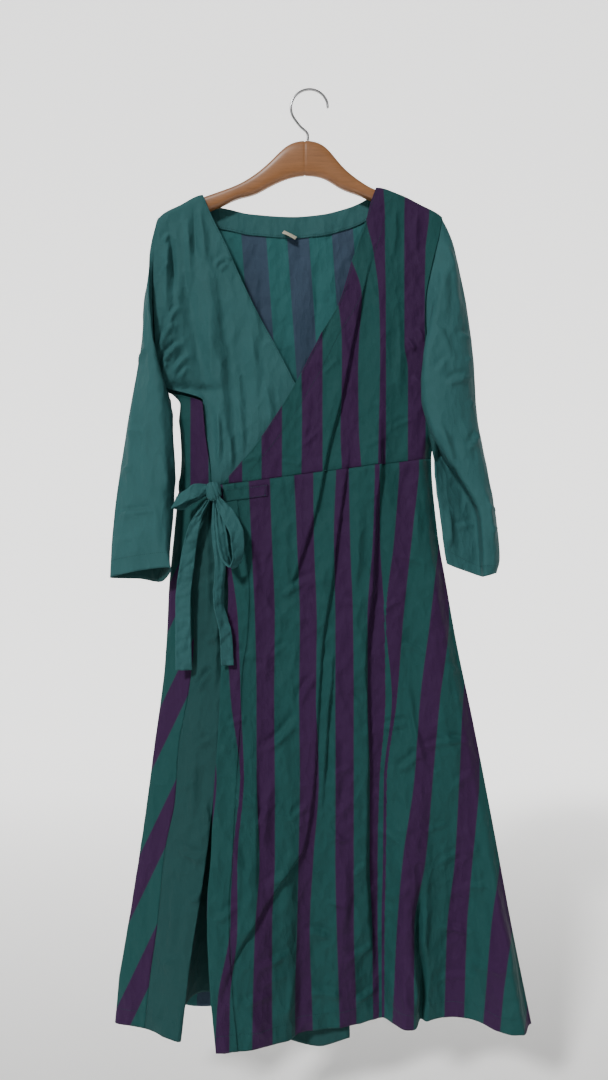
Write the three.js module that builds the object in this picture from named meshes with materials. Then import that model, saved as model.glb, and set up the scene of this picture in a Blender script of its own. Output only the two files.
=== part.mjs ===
// A wrap dress with three-quarter sleeves, hanging on a wooden hanger.
// Millimetres. x runs to the viewer's right, y to the back, z up.
// The origin is the underside of the hook's crown, where a rail or a wall hook carries it.
import * as THREE from "three";
import { mergeVertices } from "three/addons/utils/BufferGeometryUtils.js";

const CLOTH = 1.6;
const STRAP = 2.2;
const SEAM = 0.6;
const HEM_Z = -1287;
const UNDER_HEM_DROP = 26;
const SHOULDER_ROUND = 9.5;
const TOP_RISE = 0.07;
const SIDE_TURN = 18;
const SIDE_HALF_GAP = 1.0;
const ARMHOLE_GAP = 1.5;
const BORDER = 28;
const SEAM_FADE = 25;
const UNDERARM_DROP = 4;
const UNDER_FADE = 15;
const SIDE_FOLD_Y = 3;
const HEM_SWING = { top: -880, tall: 380, ease: 0.8 };
const BACK_SIDES = { foldInset: 24, seamInset: 22, flatten: 0.85 };
const ARMHOLE_BACK = { edgeY: 8, inset: 12, y: 10 };
const ARMHOLE_CLOSE = 0.12;
const NECK = { left: -143, right: 95, blend: 8 };
const WAIST = { x: 168, z: -508, slope: 0.1323 };
const UNDERARM = { left: { x: -203, z: -405 }, right: { x: 183, z: -420 } };
const TIP = { left: { x: -205, z: -177 }, right: { x: 184, z: -176 } };

const COLOURS = {
  green: "#2a4d4f",
  stripes: "#33454f",
  label: "#b9b29c",
  wood: "#907256",
  steel: "#b5b6b8",
};

// A short table: its column names in one string, then its rows.
function table(names, rows) {
  const columns = names.split(" ");
  return rows.map((row) => Object.fromEntries(columns.map((name, i) => [name, row[i]])));
}

// Reads one column of a table at a place in its key column, along a smooth curve that never overshoots.
function read(rows, key, column, place) {
  const sorted = rows[0][key] < rows[rows.length - 1][key] ? rows : [...rows].reverse();
  const last = sorted.length - 1;
  if (place <= sorted[0][key]) return sorted[0][column];
  if (place >= sorted[last][key]) return sorted[last][column];
  let i = 0;
  while (place > sorted[i + 1][key]) i += 1;
  const rise = (j) => (sorted[j + 1][column] - sorted[j][column]) / (sorted[j + 1][key] - sorted[j][key]);
  const tangent = (j) => {
    if (j === 0) return rise(0);
    if (j === last) return rise(last - 1);
    const before = rise(j - 1);
    const after = rise(j);
    return before * after <= 0 ? 0 : (2 * before * after) / (before + after);
  };
  const span = sorted[i + 1][key] - sorted[i][key];
  const t = (place - sorted[i][key]) / span;
  const ease = t * t * (3 - 2 * t);
  const leaving = tangent(i) * span * t * (1 - t) * (1 - t);
  const arriving = tangent(i + 1) * span * t * t * (t - 1);
  return sorted[i][column] + (sorted[i + 1][column] - sorted[i][column]) * ease + leaving + arriving;
}

const lerp = THREE.MathUtils.lerp;
const smooth = (value) => THREE.MathUtils.smoothstep(value, 0, 1);
const waistZ = (x) => WAIST.z + WAIST.slope * (x - WAIST.x);

// Outlines of the pieces, as seen from the front.
const wrapEdge = table("z x", [
  [-135, 94], [-161, 85], [-181, 80], [-239, 60], [-296, 43], [-342, 17], [-408, -17], [-484, -65],
  [-548, -118],
]);
const underNeckEdge = table("z x", [
  [-145, -145], [-174, -133], [-221, -110], [-262, -92], [-314, -67], [-361, -41], [-406, -18], [-530, 49],
]);
const skirtFreeEdge = table("z x", [
  [-548, -127], [-620, -116], [-687, -107], [-753, -110], [-793, -116], [-868, -119], [-964, -125],
  [-1042, -128], [-1093, -132], [-1202, -128], [-1287, -120],
]);
const rightSide = table("z x", [
  [-420, 183], [-470, 177], [-508, 170], [-606, 178], [-684, 191], [-758, 204], [-868, 227], [-1007, 254],
  [-1159, 282], [-1287, 308],
]);
const leftFold = table("z x", [
  [-425, -176], [-500, -176], [-592, -183], [-675, -191], [-786, -197], [-897, -211], [-1008, -226],
  [-1119, -243], [-1230, -261], [-1320, -270],
]);
const leftSeam = table("z x y", [
  [-405, -146, -12], [-470, -140, -18], [-545, -131, -22], [-576, -140, -21], [-601, -149, -20],
  [-671, -157, -18], [-753, -155, -18], [-833, -163, -17], [-901, -176, -16], [-974, -181, -15],
  [-1044, -195, -14], [-1142, -205, -13], [-1220, -216, -12], [-1320, -226, -12],
]);
const leftArmhole = table("z x", [[-177, -205], [-210, -211], [-293, -211], [-362, -208], [-405, -203]]);
const rightArmhole = table("z x", [
  [-176, 184], [-205, 179], [-241, 170], [-300, 160], [-345, 161], [-385, 170], [-420, 183],
]);
const shoulderLine = table("x z", [
  [-205, -177], [-197, -170], [-177, -160], [-145, -145], [94, -135], [127, -145], [155, -159],
  [178, -171], [184, -176],
]);
const backNeckLine = table("x z", [
  [-145, -145], [-132, -154], [-108, -160], [-81, -166], [-21, -170], [17, -167], [51, -159], [76, -149],
  [94, -135],
]);

// How far the cloth stands in front of the hanger's plane, in rows by height.
const overDepth = table("z edge left middle right side", [
  [-140, -11, -11, -11, -11, -11],
  [-200, -13, -13, -13, -12, -12],
  [-300, -22, -21, -19, -16, -13],
  [-400, -28, -27, -24, -18, -13],
  [-540, -30, -29, -27, -19, -13],
  [-700, -34, -32, -27, -17, -13],
  [-900, -45, -39, -28, -15, -14],
  [-1287, -62, -48, -28, -14, -16],
]);
const overColumns = { edge: -120, left: -60, middle: 10, right: 100, side: 190 };
const hemWave = table("x y", [
  [-130, -68], [-80, -62], [-45, -46], [-25, -37], [-11, -22], [17, -15], [50, -9], [70, -1], [104, 14],
  [118, -2], [133, -18], [154, -11], [172, 7], [200, 15], [222, 13], [237, 3], [258, -19], [279, -28],
  [308, -24],
]);
const underDepth = table("z side middle edge", [
  [-145, -11, -11, -11], [-200, -12, -13, -13], [-300, -14, -15, -17], [-400, -14, -16, -18],
  [-545, -21, -19, -14],
]);
const backDepth = table("z y", [[-140, 11], [-540, 13], [-900, 20], [-1287, 30]]);

// Folds that run down the cloth. Each follows a line, and is a lip, a valley or a ridge across it.
const overFolds = [
  {
    kind: "lip", width: 30, deep: 9,
    line: table("z x", [
      [-215, 91], [-258, 79], [-338, 62], [-424, 45], [-498, 26], [-566, 13], [-646, -11], [-715, -34],
    ]),
  },
  {
    kind: "lip", width: 34, deep: 11,
    line: table("z x", [
      [-470, 59], [-541, 49], [-620, 38], [-674, 32], [-754, 19], [-835, 13], [-943, 7], [-1036, -7],
      [-1062, -27], [-1118, -67], [-1171, -99], [-1236, -120],
    ]),
  },
  {
    kind: "lip", width: 36, deep: 9,
    line: table("z x", [
      [-440, 98], [-515, 97], [-579, 91], [-674, 87], [-783, 77], [-891, 80], [-1056, 79], [-1227, 90],
    ]),
  },
  {
    kind: "valley", width: 9, deep: -14,
    line: table("z x", [[-1086, 154], [-1170, 151], [-1225, 158], [-1300, 156]]),
  },
  {
    kind: "ridge", width: 14, deep: 4,
    line: table("z x", [[-180, 103], [-292, 102], [-402, 99], [-511, 95], [-552, 111], [-838, 119]]),
  },
  { kind: "lip", width: 20, deep: 5, line: table("z x", [[-890, -69], [-1000, -69], [-1112, -68]]) },
  { kind: "ridge", width: 22, deep: 5, line: table("z x", [[-560, 150], [-760, 170], [-1000, 196]]) },
];
const underFolds = [
  {
    kind: "valley", width: 9, deep: -6,
    line: table("z x", [[-176, -179], [-254, -169], [-347, -154], [-416, -141], [-538, -124]]),
  },
  {
    kind: "ridge", width: 12, deep: 6,
    line: table("z x", [[-210, -148], [-282, -135], [-353, -126], [-430, -118], [-529, -112]]),
  },
  {
    kind: "valley", width: 8, deep: -4,
    line: table("z x", [[-226, -131], [-282, -120], [-353, -111], [-430, -104], [-529, -98]]),
  },
  { kind: "valley", width: 8, deep: -4, line: table("z x", [[-308, -98], [-402, -88], [-495, -73]]) },
  { kind: "ridge", width: 16, deep: 5, line: table("z x", [[-300, -197], [-350, -188], [-398, -176]]) },
];
const backFolds = [
  { kind: "ridge", width: 34, deep: -9, line: table("z x", [[-560, -90], [-900, -110], [-1300, -130]]) },
  { kind: "valley", width: 26, deep: 6, line: table("z x", [[-590, -20], [-900, -28], [-1300, -40]]) },
  { kind: "ridge", width: 36, deep: -9, line: table("z x", [[-540, 60], [-900, 70], [-1300, 78]]) },
  { kind: "ridge", width: 30, deep: -7, line: table("z x", [[-620, 130], [-900, 165], [-1300, 205]]) },
];

const FOLD_FADE = 60;

// A lip stands up on its left, drops steeply into a dent on its right and then levels out.
function lipProfile(t) {
  if (t < 0) return Math.exp(-((t / 1.3) ** 2));
  if (t < 0.4) return lerp(1, -0.5, smooth(t / 0.4));
  return -0.5 * Math.exp(-((t - 0.4) ** 2));
}

// The distance that a list of folds moves a point of the cloth towards the viewer.
function foldLift(folds, x, z) {
  let lift = 0;
  for (const fold of folds) {
    const top = fold.line[0].z;
    const bottom = fold.line[fold.line.length - 1].z;
    const fade = smooth((top - z) / FOLD_FADE) * (bottom < HEM_Z ? 1 : smooth((z - bottom) / FOLD_FADE));
    const t = (x - read(fold.line, "z", "x", z)) / fold.width;
    lift += fold.deep * fade * (fold.kind === "lip" ? lipProfile(t) : Math.exp(-t * t));
  }
  return lift;
}

// The cloth rounds over the hanger's arm: 0 at the shoulder line and 1 a little below it.
function shoulderRound(drop) {
  const down = THREE.MathUtils.clamp(1 - drop / SHOULDER_ROUND, 0, 1);
  return Math.sqrt(1 - down * down);
}

const belowShoulder = (x, z) => shoulderRound(TOP_RISE + read(shoulderLine, "x", "z", x) - z);

// At a side seam the front and the back close on each other.
const sideClose = (distance) => smooth(distance / SIDE_TURN);

function overY(x, z) {
  const columns = Object.entries(overColumns).map(([name, at]) => ({ at, y: read(overDepth, "z", name, z) }));
  const plain = read(columns, "at", "y", x);
  const towardsHem = smooth((HEM_SWING.top - z) / HEM_SWING.tall) ** HEM_SWING.ease;
  const hung = lerp(plain, read(hemWave, "x", "y", x), towardsHem) - foldLift(overFolds, x, z);
  const belowUnderarm = smooth((UNDERARM.right.z + SEAM_FADE - z) / SEAM_FADE);
  const closed = lerp(-SIDE_HALF_GAP, hung, sideClose(read(rightSide, "z", "x", z) - x));
  return lerp(hung, closed, belowUnderarm);
}

function underY(x, z, across) {
  const columns = [
    { at: 0, y: read(underDepth, "z", "side", z) },
    { at: 0.5, y: read(underDepth, "z", "middle", z) },
    { at: 1, y: read(underDepth, "z", "edge", z) },
  ];
  return read(columns, "at", "y", across) - foldLift(underFolds, x, z);
}

const backY = (x, z) => read(backDepth, "z", "y", z) - foldLift(backFolds, x, z);

// A wall of cloth: a grid of points at its middle, moved out both ways along the normal and closed by a rim.
function wall(name, grid, colour, thickness = CLOTH, round = false) {
  const rows = grid.length;
  const columns = grid[0].length;
  const at = (row, column) => {
    const turned = round ? (column + columns) % columns : THREE.MathUtils.clamp(column, 0, columns - 1);
    return grid[THREE.MathUtils.clamp(row, 0, rows - 1)][turned];
  };
  const positions = [];
  for (const side of [-0.5, 0.5]) {
    for (let row = 0; row < rows; row += 1) {
      for (let column = 0; column < columns; column += 1) {
        const across = at(row, column + 1).clone().sub(at(row, column - 1));
        const down = at(row + 1, column).clone().sub(at(row - 1, column));
        const normal = across.cross(down).normalize();
        positions.push(...at(row, column).clone().addScaledVector(normal, side * thickness).toArray());
      }
    }
  }
  const sheet = rows * columns;
  const faces = [];
  const quad = (a, b, c, d) => faces.push(a, b, c, a, c, d);
  const lastColumn = round ? columns : columns - 1;
  for (let row = 0; row < rows - 1; row += 1) {
    for (let column = 0; column < lastColumn; column += 1) {
      const next = (column + 1) % columns;
      const [a, b] = [row * columns + column, row * columns + next];
      const [c, d] = [b + columns, a + columns];
      quad(a, d, c, b);
      quad(sheet + a, sheet + b, sheet + c, sheet + d);
    }
  }
  for (let column = 0; column < lastColumn; column += 1) {
    const next = (column + 1) % columns;
    const bottom = (rows - 1) * columns;
    quad(column, next, sheet + next, sheet + column);
    quad(bottom + next, bottom + column, sheet + bottom + column, sheet + bottom + next);
  }
  if (!round) {
    for (let row = 0; row < rows - 1; row += 1) {
      const [a, b] = [row * columns, (row + 1) * columns];
      const [c, d] = [a + columns - 1, b + columns - 1];
      quad(b, a, sheet + a, sheet + b);
      quad(c, d, sheet + d, sheet + c);
    }
  }
  return closedMesh(name, positions, faces, colour);
}

// A mesh of a closed body, with its faces turned outwards.
function closedMesh(name, positions, faces, colour, roughness = 0.85, metalness = 0) {
  let volume = 0;
  const corner = (i) => new THREE.Vector3(...positions.slice(3 * i, 3 * i + 3));
  for (let i = 0; i < faces.length; i += 3) {
    volume += corner(faces[i]).dot(corner(faces[i + 1]).cross(corner(faces[i + 2])));
  }
  const geometry = new THREE.BufferGeometry();
  geometry.setAttribute("position", new THREE.Float32BufferAttribute(positions, 3));
  geometry.setIndex(volume < 0 ? [...faces].reverse() : faces);
  geometry.computeVertexNormals();
  const material = new THREE.MeshStandardMaterial({ color: colour, roughness, metalness });
  const mesh = new THREE.Mesh(geometry, material);
  mesh.name = name;
  return mesh;
}

const steps = (count, from = 0, to = 1) => (
  Array.from({ length: count + 1 }, (_, i) => lerp(from, to, i / count)));
const gridOf = (rows, columns, point) => rows.map((row) => columns.map((column) => point(column, row)));

// Heights down a piece that starts at a shoulder: close together over the round, then even.
function dropRows(count) {
  const overRound = [0, 0.19, 0.55, 1].map((share) => ({ drop: share * SHOULDER_ROUND, share: 0 }));
  const below = steps(count).slice(1).map((share) => ({ drop: SHOULDER_ROUND, share }));
  return [...overRound, ...below];
}

// Front bodice that laps over, from the wrap edge on the left to the armhole and the side seam.
function overBodicePoint(across, row) {
  const heightAt = (top, bottom) => lerp(top - row.drop, bottom, row.share);
  const leftZ = heightAt(wrapEdge[0].z, waistZ(-118) + SEAM / 2);
  const rightZ = heightAt(TIP.right.z, waistZ(WAIST.x) + SEAM / 2);
  const left = read(wrapEdge, "z", "x", leftZ);
  const right = read(rightZ > UNDERARM.right.z ? rightArmhole : rightSide, "z", "x", rightZ);
  const x = lerp(left, right, across);
  const topX = lerp(wrapEdge[0].x, TIP.right.x, across);
  const rise = read(shoulderLine, "x", "z", topX) - lerp(wrapEdge[0].z, TIP.right.z, across);
  const z = lerp(leftZ, rightZ, across) + rise * (1 - row.share);
  return new THREE.Vector3(x, overY(x, z) * belowShoulder(x, z), z);
}

// Front bodice that lies underneath, plain, from the left armhole and side seam to its neck edge.
function underBodicePoint(across, row) {
  const heightAt = (top, bottom) => lerp(top - row.drop, bottom, row.share);
  const leftZ = heightAt(TIP.left.z, waistZ(-131) + SEAM / 2);
  const rightZ = heightAt(underNeckEdge[0].z, waistZ(49) + SEAM / 2);
  const underarm = smooth((UNDERARM.left.z - leftZ) / UNDER_FADE);
  const armhole = read(leftArmhole, "z", "x", leftZ);
  const left = lerp(armhole, read(leftSeam, "z", "x", leftZ) + SEAM / 2, underarm);
  const right = read(underNeckEdge, "z", "x", rightZ);
  const x = lerp(left, right, across);
  const topX = lerp(TIP.left.x, underNeckEdge[0].x, across);
  const rise = read(shoulderLine, "x", "z", topX) - lerp(TIP.left.z, underNeckEdge[0].z, across);
  const z = lerp(leftZ, rightZ, across) + rise * (1 - row.share);
  return new THREE.Vector3(x, underY(x, z, across) * belowShoulder(x, z), z);
}

// A path across the back at one height: the end of its wrap, its left fold, then behind to the right side.
function backPath(z, end, fold, side) {
  const points = [
    new THREE.Vector3(end.x, end.y, z),
    new THREE.Vector3(fold.x, fold.y, z),
  ];
  for (const share of steps(9)) {
    const x = lerp(fold.x + BACK_SIDES.foldInset, side.x - BACK_SIDES.seamInset, share);
    const nearSide = share === 0 || share === 1;
    points.push(new THREE.Vector3(x, backY(x, z) * (nearSide ? BACK_SIDES.flatten : 1), z));
  }
  points.push(new THREE.Vector3(side.x, side.y, z));
  return new THREE.CatmullRomCurve3(points, false, "centripetal");
}

// Back skirt: from its seam in front, round the left fold and behind to the right side seam.
function backSkirtPoint(across, down) {
  const pathAt = (z) => {
    const end = { x: read(leftSeam, "z", "x", z) - SEAM, y: read(leftSeam, "z", "y", z) };
    const fold = { x: read(leftFold, "z", "x", z), y: SIDE_FOLD_Y };
    return backPath(z, end, fold, { x: read(rightSide, "z", "x", z), y: SIDE_HALF_GAP });
  };
  const top = waistZ(pathAt(WAIST.z).getPoint(across).x) - SEAM / 2;
  return pathAt(lerp(top, HEM_Z, down)).getPoint(across);
}

// Back bodice: the same below the underarm, and cut away to the armholes and the neck above it.
function backBodicePoint(across, row) {
  const pathAt = (z) => {
    const wrapped = smooth((UNDERARM.left.z - UNDERARM_DROP - z) / UNDER_FADE);
    const armholeX = read(leftArmhole, "z", "x", z);
    const end = {
      x: lerp(armholeX, read(leftSeam, "z", "x", z) - SEAM, wrapped),
      y: lerp(ARMHOLE_BACK.edgeY, read(leftSeam, "z", "y", z), wrapped),
    };
    const fold = {
      x: lerp(armholeX + ARMHOLE_BACK.inset, read(leftFold, "z", "x", z), wrapped),
      y: lerp(ARMHOLE_BACK.y, SIDE_FOLD_Y, wrapped),
    };
    const joined = smooth((UNDERARM.right.z + SEAM_FADE - z) / SEAM_FADE);
    const sideX = read(z > UNDERARM.right.z ? rightArmhole : rightSide, "z", "x", z);
    return backPath(z, end, fold, { x: sideX, y: lerp(ARMHOLE_BACK.y, SIDE_HALF_GAP, joined) });
  };
  const topX = pathAt(TIP.left.z).getPoint(across).x;
  const overNeck = topX > shoulderLine[3].x && topX < shoulderLine[4].x;
  const top = overNeck ? read(backNeckLine, "x", "z", topX) : read(shoulderLine, "x", "z", topX);
  const bottom = waistZ(pathAt(WAIST.z).getPoint(across).x) + SEAM / 2;
  const z = lerp(top - row.drop, bottom, row.share);
  const point = pathAt(z).getPoint(across);
  const beyondLeft = smooth((NECK.left - point.x) / NECK.blend);
  const beyondRight = smooth((point.x - NECK.right) / NECK.blend);
  const ontoShoulder = Math.max(beyondLeft, beyondRight);
  point.y *= lerp(1, shoulderRound(TOP_RISE + top - z), ontoShoulder);
  return point;
}

// Skirt panel that lies underneath: from its left seam to a fold, then turned back behind the over panel.
const underFoldEdge = table("z x y turnX turnY midX midY endX endY", [
  [-545, -112, -20, -90, -20, -20, -18, 50, -14],
  [-680, -105, -27, -82, -25, -16, -19, 52, -10],
  [-780, -114, -31, -94, -22, -24, -15, 53, -7],
  [-860, -118, -34, -100, -14, -30, -11, 54, -4],
  [-940, -124, -36, -106, -8, -34, -7, 55, -2],
  [-1073, -140, -38, -121, 0, -42, -2, 56, 0],
  [-1167, -155, -38, -136, 4, -52, 1, 57, 2],
  [-1320, -174, -38, -154, 8, -62, 4, 58, 3],
]);

function underSkirtPoint(across, down) {
  const pathAt = (z) => {
    const cell = (column) => read(underFoldEdge, "z", column, z);
    return new THREE.CatmullRomCurve3([
      new THREE.Vector3(read(leftSeam, "z", "x", z) + SEAM / 2, read(leftSeam, "z", "y", z), z),
      new THREE.Vector3(cell("x"), cell("y"), z),
      new THREE.Vector3(cell("turnX"), cell("turnY"), z),
      new THREE.Vector3(cell("midX"), cell("midY"), z),
      new THREE.Vector3(cell("endX"), cell("endY"), z),
    ], false, "centripetal");
  };
  const top = waistZ(pathAt(-545).getPoint(across).x) - SEAM / 2;
  const hem = HEM_Z - UNDER_HEM_DROP * smooth((across - 0.3) / 0.3);
  return pathAt(lerp(top, hem, down)).getPoint(across);
}

// A line down the over panel, set in from its free edge.
function overSkirtLine(inset, down) {
  const z = lerp(waistZ(skirtFreeEdge[0].x + inset) - SEAM / 2, HEM_Z, down);
  return { x: read(skirtFreeEdge, "z", "x", z) + inset, z };
}

// The plain border along the free edge, and the striped panel from there to the side seam.
function borderPoint(across, down) {
  const { x, z } = overSkirtLine(across * BORDER, down);
  return new THREE.Vector3(x, overY(x, z), z);
}

function overSkirtPoint(across, down) {
  const left = overSkirtLine(BORDER + SEAM, down);
  const rightZ = lerp(waistZ(WAIST.x) - SEAM / 2, HEM_Z, down);
  const x = lerp(left.x, read(rightSide, "z", "x", rightZ), across);
  const z = lerp(left.z, rightZ, across);
  return new THREE.Vector3(x, overY(x, z), z);
}

// A sleeve: rings from the armhole to the cuff, each through an outer, a fold, an inner and a back point.
const RING = 16;
const ringStops = [0, 5, 8, 12, 16];
const rightSleeve = table("v outerX outerZ foldX foldY foldZ innerX innerY innerZ backY", [
  [0.12, 205, -232, 169, -27, -316, 198, -6, -431, 13],
  [0.25, 219, -300, 158, -30, -375, 193, -12, -448, 13],
  [0.38, 228, -375, 157, -33, -425, 185, -17, -468, 12],
  [0.5, 232, -445, 165, -35, -470, 179, -21, -500, 11],
  [0.64, 245, -525, 204, -36, -535, 178, -21, -545, 9],
  [0.8, 256, -594, 231, -36, -594, 181, -20, -594, 8],
  [0.92, 261, -645, 236, -35, -648, 185, -20, -636, 6],
  [1.0, 256, -664, 236, -34, -669, 188, -19, -652, 5],
]);
const leftSleeve = table("v outerX outerZ foldX foldY foldZ innerX innerY innerZ backY", [
  [0.12, -218, -238, -215, -27, -292, -213, -8, -416, 13],
  [0.25, -224, -305, -211, -31, -345, -202, -15, -432, 12],
  [0.38, -232, -366, -206, -34, -395, -186, -19, -448, 12],
  [0.5, -243, -428, -202, -36, -442, -183, -21, -478, 12],
  [0.64, -256, -508, -198, -37, -508, -180, -22, -520, 11],
  [0.8, -266, -578, -193, -37, -572, -181, -22, -574, 10],
  [0.92, -271, -635, -189, -37, -628, -187, -21, -632, 9],
  [1.0, -273, -672, -184, -36, -658, -197, -18, -676, 10],
]);

function armholePoint(side, i) {
  const front = i <= RING / 2;
  const share = front ? i / (RING / 2) : 2 - i / (RING / 2);
  const outwards = side === "right" ? ARMHOLE_GAP : -ARMHOLE_GAP;
  const z = lerp(TIP[side].z, UNDERARM[side].z, share);
  const x = read(side === "right" ? rightArmhole : leftArmhole, "z", "x", z);
  const rounded = shoulderRound(TIP[side].z - z);
  const frontY = side === "right" ? overY(x, z) : underY(x, z, 0);
  const closing = smooth((1 - share) / ARMHOLE_CLOSE);
  const y = front ? frontY : ARMHOLE_BACK.y;
  return new THREE.Vector3(x + outwards, y * rounded * closing, z);
}

function sleevePoint(side, levels, i, v) {
  if (v === 0) return armholePoint(side, i);
  const cell = (column) => read(levels, "v", column, v);
  const outer = new THREE.Vector3(cell("outerX"), 0, cell("outerZ"));
  const inner = new THREE.Vector3(cell("innerX"), cell("innerY"), cell("innerZ"));
  const back = outer.clone().lerp(inner, 0.5).setY(cell("backY"));
  const fold = new THREE.Vector3(cell("foldX"), cell("foldY"), cell("foldZ"));
  const ring = new THREE.CatmullRomCurve3([outer, fold, inner, back], true, "centripetal");
  const segment = ringStops.findIndex((stop, index) => i >= stop && i < ringStops[index + 1]);
  const local = (i - ringStops[segment]) / (ringStops[segment + 1] - ringStops[segment]);
  return ring.getPoint((segment + local) / 4);
}

function sleeve(side, levels) {
  const rows = [0, ...steps(13, levels[0].v, 1)];
  const ring = Array.from({ length: RING }, (_, i) => i);
  const grid = gridOf(rows, ring, (i, v) => sleevePoint(side, levels, i, v));
  return wall(`sleeve_${side}`, grid, COLOURS.green, CLOTH, true);
}

const strapColumns = "x y z acrossX acrossY acrossZ width";
const STRAP_STEPS = 24;

// A strap: a flat strip carried along a path, with its width turned to a given direction.
function strap(name, route, count) {
  const last = route.length - 1;
  const indexed = route.map((row, index) => ({ ...row, index: index / last }));
  const rows = steps(count);
  const grid = rows.map((share) => {
    const cells = strapColumns.split(" ").map((column) => read(indexed, "index", column, share));
    const [x, y, z, ax, ay, az, width] = cells;
    const across = new THREE.Vector3(ax, ay, az).normalize();
    return [-0.5, 0, 0.5].map((half) => new THREE.Vector3(x, y, z).addScaledVector(across, half * width));
  });
  return wall(name, grid, COLOURS.green, STRAP);
}

const bowStraps = {
  waist_tie_loop_left: table(strapColumns, [
    [-135.3, -39.6, -552.5, 0.1, 0.1, 1, 12],
    [-152, -47, -556, 0.15, 0.3, 1, 18],
    [-168, -47, -566, 0.3, 0.4, 1, 19],
    [-175, -42, -571, 0.3, 0.5, 1, 19],
    [-167, -37, -569, 0.3, 0.4, 1, 18],
    [-152, -34, -561, 0.2, 0.2, 1, 16],
    [-136.3, -35.6, -556, 0.1, 0.1, 1, 12],
  ]),
  waist_tie_loop_right: table(strapColumns, [
    [-120.9, -40.9, -563.4, 1, 0.1, 0.7, 7],
    [-107, -50, -585, 1, 0.3, 0.6, 18],
    [-93, -56, -615, 1, 0.5, 0.4, 20],
    [-92, -57, -640, 0.9, 0.7, -0.1, 18],
    [-101, -55, -656, 0.25, 0.95, -0.1, 15],
    [-110, -52, -640, 0.8, 0.6, 0.1, 15],
    [-115, -49, -610, 1, 0.3, 0.1, 14],
    [-120, -46, -577, 1, 0.1, 0.2, 8],
  ]),
  waist_tie_tail_left: table(strapColumns, [
    [-134.1, -37.4, -566.4, 1, 0.1, 0.3, 8],
    [-152, -36, -600, 1, 0.1, 0.3, 17],
    [-162, -33, -650, 1, 0.1, 0.1, 20],
    [-168, -31, -710, 1, -0.1, 0, 21],
    [-167, -30, -795, 1, 0.1, 0, 22],
  ]),
  waist_tie_tail_right: table(strapColumns, [
    [-123.5, -38, -566.6, 1, 0, 0, 8],
    [-122, -38, -610, 1, 0.1, 0, 14],
    [-117, -41, -655, 1, 0.3, 0, 15],
    [-119, -45, -700, 0.7, 0.6, 0, 16],
    [-109, -47, -745, 0.9, 0.4, 0, 17],
    [-107, -46, -786, 1, 0.2, 0, 17],
  ]),
};

// The knot: an egg of cloth, a little flattened, with a crease where the strap crosses it.
function knot(name, centre, size) {
  const ball = new THREE.SphereGeometry(0.5, 14, 10);
  ball.deleteAttribute("normal");
  ball.deleteAttribute("uv");
  const merged = mergeVertices(ball);
  const corner = new THREE.Vector3();
  const positions = [];
  for (let i = 0; i < merged.attributes.position.count; i += 1) {
    corner.fromBufferAttribute(merged.attributes.position, i);
    const crease = 1 - 0.12 * Math.exp(-(((corner.x + 0.4 * corner.z) / 0.12) ** 2));
    positions.push(...corner.multiply(size).multiplyScalar(crease).add(centre).toArray());
  }
  return closedMesh(name, positions, [...merged.index.array], COLOURS.green);
}

// The wooden hanger: a rounded section carried from tip to tip between its top and bottom outlines.
const hangerOutline = table("x top bottom half", [
  [-184, -167, -182, 4], [-178, -162.6, -186, 6], [-160, -154.3, -177, 7], [-145, -148.1, -170, 7],
  [-119, -139, -160, 7], [-97, -131, -149, 7], [-75, -118, -145, 7], [-52, -99, -132, 7],
  [-41, -87, -127, 7], [-30, -76, -122, 7], [-18, -71, -119, 7], [0, -69, -117, 7], [18, -73, -120, 7],
  [30, -82, -124, 7], [36, -92, -131, 7], [47, -106, -137, 7], [69, -124, -144, 7], [92, -138, -154, 7],
  [120, -144.1, -164, 7], [150, -158.2, -177, 7], [172, -170, -187, 6], [180, -177, -189, 4],
]);
const HANGER_SIDES = 12;
const HANGER_ROUNDING = 0.7;

function hangerBody() {
  const positions = [];
  const faces = [];
  for (const { x, top, bottom, half } of hangerOutline) {
    for (const turn of steps(HANGER_SIDES).slice(1)) {
      const angle = turn * Math.PI * 2;
      const rounded = (value) => Math.sign(value) * Math.abs(value) ** HANGER_ROUNDING;
      const y = half * rounded(Math.cos(angle));
      const z = (top + bottom) / 2 + ((top - bottom) / 2) * rounded(Math.sin(angle));
      positions.push(x, y, z);
    }
  }
  const last = hangerOutline.length - 1;
  for (let station = 0; station < last; station += 1) {
    for (let i = 0; i < HANGER_SIDES; i += 1) {
      const next = (i + 1) % HANGER_SIDES;
      const [a, b] = [station * HANGER_SIDES + i, station * HANGER_SIDES + next];
      faces.push(a, a + HANGER_SIDES, b + HANGER_SIDES, a, b + HANGER_SIDES, b);
    }
  }
  for (let i = 1; i < HANGER_SIDES - 1; i += 1) {
    const end = last * HANGER_SIDES;
    faces.push(0, i, i + 1, end, end + i + 1, end + i);
  }
  return closedMesh("hanger_body", positions, faces, COLOURS.wood, 0.55);
}

// The steel hook: a round loop, open on its right, over a stem that stands on the wood.
const HOOK = {
  wire: 3.5, loop: 25.5, from: -2, to: 205, sides: 8, steps: 32,
  stem: [[-11, -49], [-1, -59], [0, -68.6]],
};

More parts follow.
